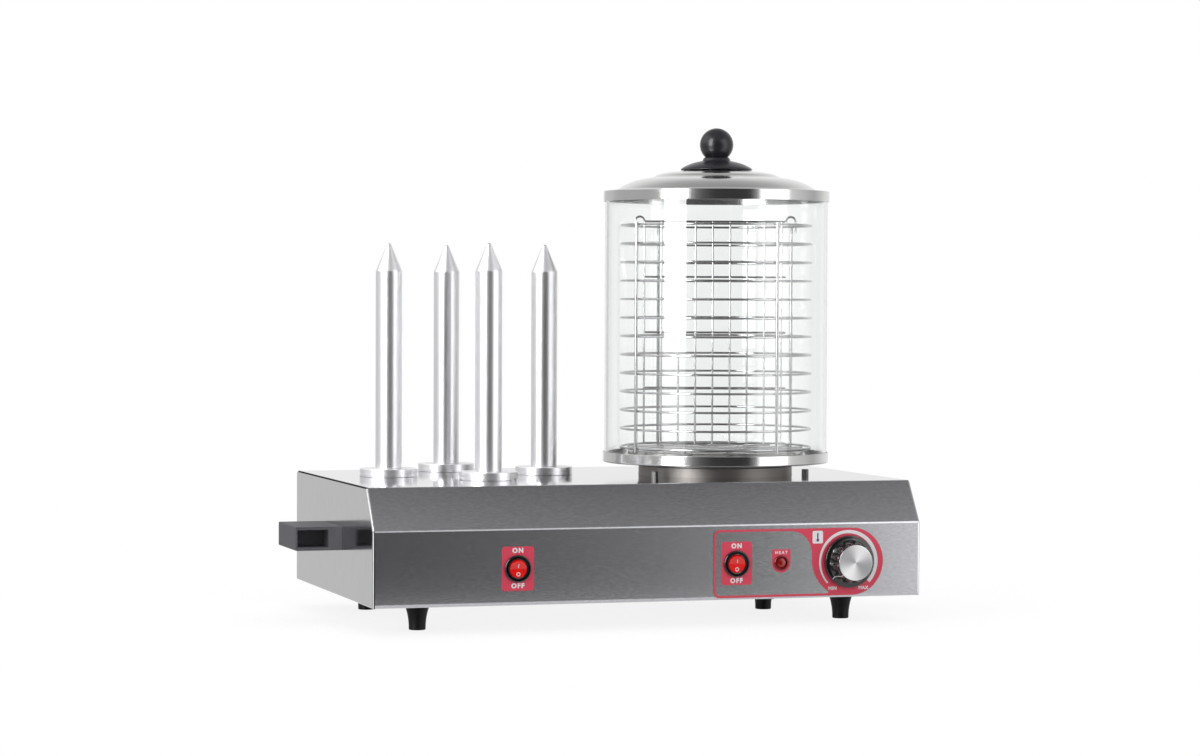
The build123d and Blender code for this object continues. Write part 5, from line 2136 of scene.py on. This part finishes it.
@dataclass
class Studio:
    """Floor, lamps, world and camera.

    Lengths are in metres, the camera's place and sensor in millimetres, its focal length in pixels.
    """

    front: float
    camera_place: tuple[float, float, float] = (-876.76, -2769.75, 284.79)
    yaw: float = 17.535
    pitch: float = 1.484
    roll: float = -0.226
    focal: float = 3272.12
    image_width: float = 1200.0
    sensor: float = 36.0
    floor_half: float = 1.8
    floor_front: float = -0.62
    floor_rear: float = 5.0
    floor_lift: float = 0.84
    floor_shade: float = 0.2
    floor_bounce: float = 0.47
    floor_mirrored: float = 0.95
    shadow_middle: Point = (0.02, -0.02)
    shadow_reach: Point = (0.66, 0.52)
    table_reach: float = 0.15
    table_inset: float = 0.0075

    def _floor_shader(self) -> bpy.types.Material:
        """Makes the floor's shader: a shaded oval about the object, plain white further off.

        Returns:
            The material.
        """
        mix = Recipe("floor")
        mottle = mix.noise((3.0, 3.0, 3.0), 2.0, 0.5)
        across, along, _ = mix.split(mix.place())
        (x, y), (wide, deep) = self.shadow_middle, self.shadow_reach
        reach = (((across - x) / wide) ** 2.0 + ((along - y) / deep) ** 2.0) ** 0.5
        near = mix.ramped(reach, (0.55, 1.0), (1.0, 0.0), "SMOOTHSTEP")
        seen = mix.ray("Is Camera Ray") + mix.ray("Is Transmission Ray")
        levels = (self.floor_bounce, self.floor_shade)
        greys = [mix.blend(mottle, (level,) * 3, (level + 0.01,) * 3) for level in levels]
        shade, faint = (mix.node("ShaderNodeBsdfDiffuse", inputs={"Color": grey}) for grey in greys)
        white, lift, table = (
            mix.node("ShaderNodeEmission", inputs={"Color": (1.0, 1.0, 1.0, 1.0), "Strength": strength})
            for strength in (1.0, self.floor_lift, self.floor_mirrored)
        )
        lifted = mix.node("ShaderNodeAddShader", inputs={0: faint, 1: lift})
        laid = mix.mixed(near, mix.mixed(seen, shade, white), mix.mixed(seen, shade, lifted))
        table_front, table_rear = self.front - self.table_reach, self.front + self.table_inset
        before = (along > table_front) * (1.0 - (along > table_rear))
        clear = mix.mixed(before, mix.node("ShaderNodeBsdfTransparent"), table)
        mix.node_output(mix.mixed(mix.ray("Is Glossy Ray"), laid, clear))
        return mix.material

    def floor(self) -> None:
        """Lays the pale floor."""
        begin()
        bpy.ops.mesh.primitive_plane_add(size=2.0)
        floor = bpy.context.object
        floor.name = "floor"
        floor.scale = (self.floor_half, (self.floor_rear - self.floor_front) / 2, 1.0)
        floor.location = (0.0, (self.floor_rear + self.floor_front) / 2, 0.0)
        bake_place(floor)
        floor.data.materials.append(self._floor_shader())

    def lamps(self) -> None:
        """Hangs the softboxes to the left, the right and above."""
        bright = Softbox("left_box", -60.2, 1.9, 0.83, 0.2, 2.0, 9.0).hang()
        bright.visible_diffuse = False
        Softbox("left_reflector", -60.2, 1.92, 0.83, -0.7, 2.0, 1.5).hang()
        Softbox("right_box", 42.8, 2.2, 1.3, -0.7, 1.9, 1.3).hang()
        top = area_lamp("top_box", 1.6, 1.2, 1.0)
        top.visible_glossy = False
        top.location = (0.0, 0.5, 2.4)

    def _walls(self, mix: Recipe, share: Wire) -> Wire:
        """Greys of the walls round the object, which metal mirrors.

        Args:
            mix: The world's tree.
            share: Direction round the object, a half being straight to the front.

        Returns:
            The grey.
        """
        greys = {
            -155: 0.68,
            -138: 0.55,
            -95: 0.5,
            -48: 0.45,
            -43: 0.2,
            -34: 0.1,
            -22: 0.04,
            15: 0.035,
            21: 0.26,
            58: 0.85,
            75: 0.7,
            98: 0.52,
            125: 0.9,
        }
        stops = [(0.0, 0.66)] + [(around(turn), grey) for turn, grey in greys.items()] + [(1.0, 0.95)]
        return mix.greys(share, stops)

    def _ceiling(self, mix: Recipe, east: Wire, north: Wire, height: Wire) -> Wire:
        """Greys above the walls: a dim bowl ahead, a bright sky that darkens overhead behind.

        Args:
            mix: The world's tree.
            east: How far a direction points to the right.
            north: How far it points to the rear.
            height: How far it points up.

        Returns:
            The grey.
        """
        bowl = (east - 0.305) ** 2.0 * 30.0 + 0.145
        overhead = mix.ramped(height, (0.35, 0.95))
        rear = mix.blend(overhead, (0.84,) * 3, (0.36,) * 3)
        behind = mix.ramped(north, (-0.25, 0.45))
        return mix.blend(behind, bowl.at_most(0.5), rear)

    def _panels(self, mix: Recipe, share: Wire, height: Wire) -> Wire:
        """Bright panels that metal mirrors, one ahead on the right and one on the left.

        Args:
            mix: The world's tree.
            share: Direction round the object, a half being straight to the front.
            height: How far a direction points up.

        Returns:
            One where a panel hangs.
        """
        strip = mix.greys(height, [(0.22, 0.0), (0.28, 1.0), (0.5, 1.0), (0.58, 0.0)])
        grown = mix.ramped(share, (around(7), around(20)), (0.25, 1.0))
        ahead = (share > around(3)) * (1.0 - (share > around(36))) * grown
        sides = ((-140, 0.0), (-128, 1.0), (-78, 1.0), (-72, 0.0))
        panel = mix.greys(share, [(around(turn), grey) for turn, grey in sides])
        raised = mix.ramped(height, (0.12, 0.2))
        return strip * ahead + panel * raised * (1.0 - (height > 0.8))

    def world(self) -> None:
        """Sets the studio's walls: white to the eye, grey and dark where metal mirrors them."""
        world = bpy.data.worlds.new("studio")
        bpy.context.scene.world = world
        world.use_nodes = True
        mix = Recipe("studio", world.node_tree)
        east, north, height = mix.split(mix.node("ShaderNodeTexCoord", output="Generated"))
        share = east.angle_over(north * -1.0) / (2 * math.pi) + 0.5
        above = mix.ramped(height, (0.25, 0.7))
        room = mix.blend(above, self._walls(mix, share), self._ceiling(mix, east, north, height))
        mirrored = mix.blend(self._panels(mix, share, height), room, (1.6, 1.6, 1.6))
        seen = 1.0 - (mix.ray("Glossy Depth") + mix.ray("Diffuse Depth") > 0.5)
        soft = mix.blend(mix.ray("Is Diffuse Ray"), mirrored, (0.62, 0.62, 0.63))
        colour = mix.blend(seen, soft, (1.0, 1.0, 1.0))
        shader = mix.node("ShaderNodeBackground", inputs={"Color": colour, "Strength": 1.0})
        mix.node_output(shader, "ShaderNodeOutputWorld")

    def camera(self) -> None:
        """Sets the camera where the photograph was taken."""
        data = bpy.data.cameras.new("camera")
        eye = bpy.data.objects.new("camera", data)
        bpy.context.scene.collection.objects.link(eye)
        data.sensor_width = self.sensor
        data.lens = self.focal * self.sensor / self.image_width
        data.clip_start = 0.05
        yaw, pitch, roll = (math.radians(value) for value in (self.yaw, self.pitch, self.roll))
        ahead = Vector((math.sin(yaw) * math.cos(pitch), math.cos(yaw) * math.cos(pitch), -math.sin(pitch)))
        right = Vector((math.cos(yaw), -math.sin(yaw), 0))
        down = ahead.cross(right)
        right_turned = right * math.cos(roll) + down * math.sin(roll)
        down_turned = down * math.cos(roll) - right * math.sin(roll)
        turn = Matrix((right_turned, -down_turned, -ahead)).transposed()
        eye.matrix_world = Matrix.Translation(Vector(self.camera_place) * MM) @ turn.to_4x4()
        bpy.context.scene.camera = eye

    def build(self) -> None:
        """Sets up the whole studio."""
        self.floor()
        self.lamps()
        self.world()
        self.camera()
        bpy.context.scene.view_settings.view_transform = "Standard"


def main() -> None:
    """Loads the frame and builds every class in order."""
    logging.basicConfig(level=logging.INFO, format="%(name)s %(message)s")
    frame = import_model()
    palette = Palette()
    housing = Housing(palette)
    Studio(housing.front * MM).build()
    housing.build()
    Handles(palette, housing.width / 2).build()
    Controls(palette, housing.front).build()
    Spikes(palette, housing.top).build()
    Steamer(palette, *housing.basin, housing.top).build()
    Carried(palette, frame["nodes"]).build()
    begin()


if __name__ == "__main__":
    main()
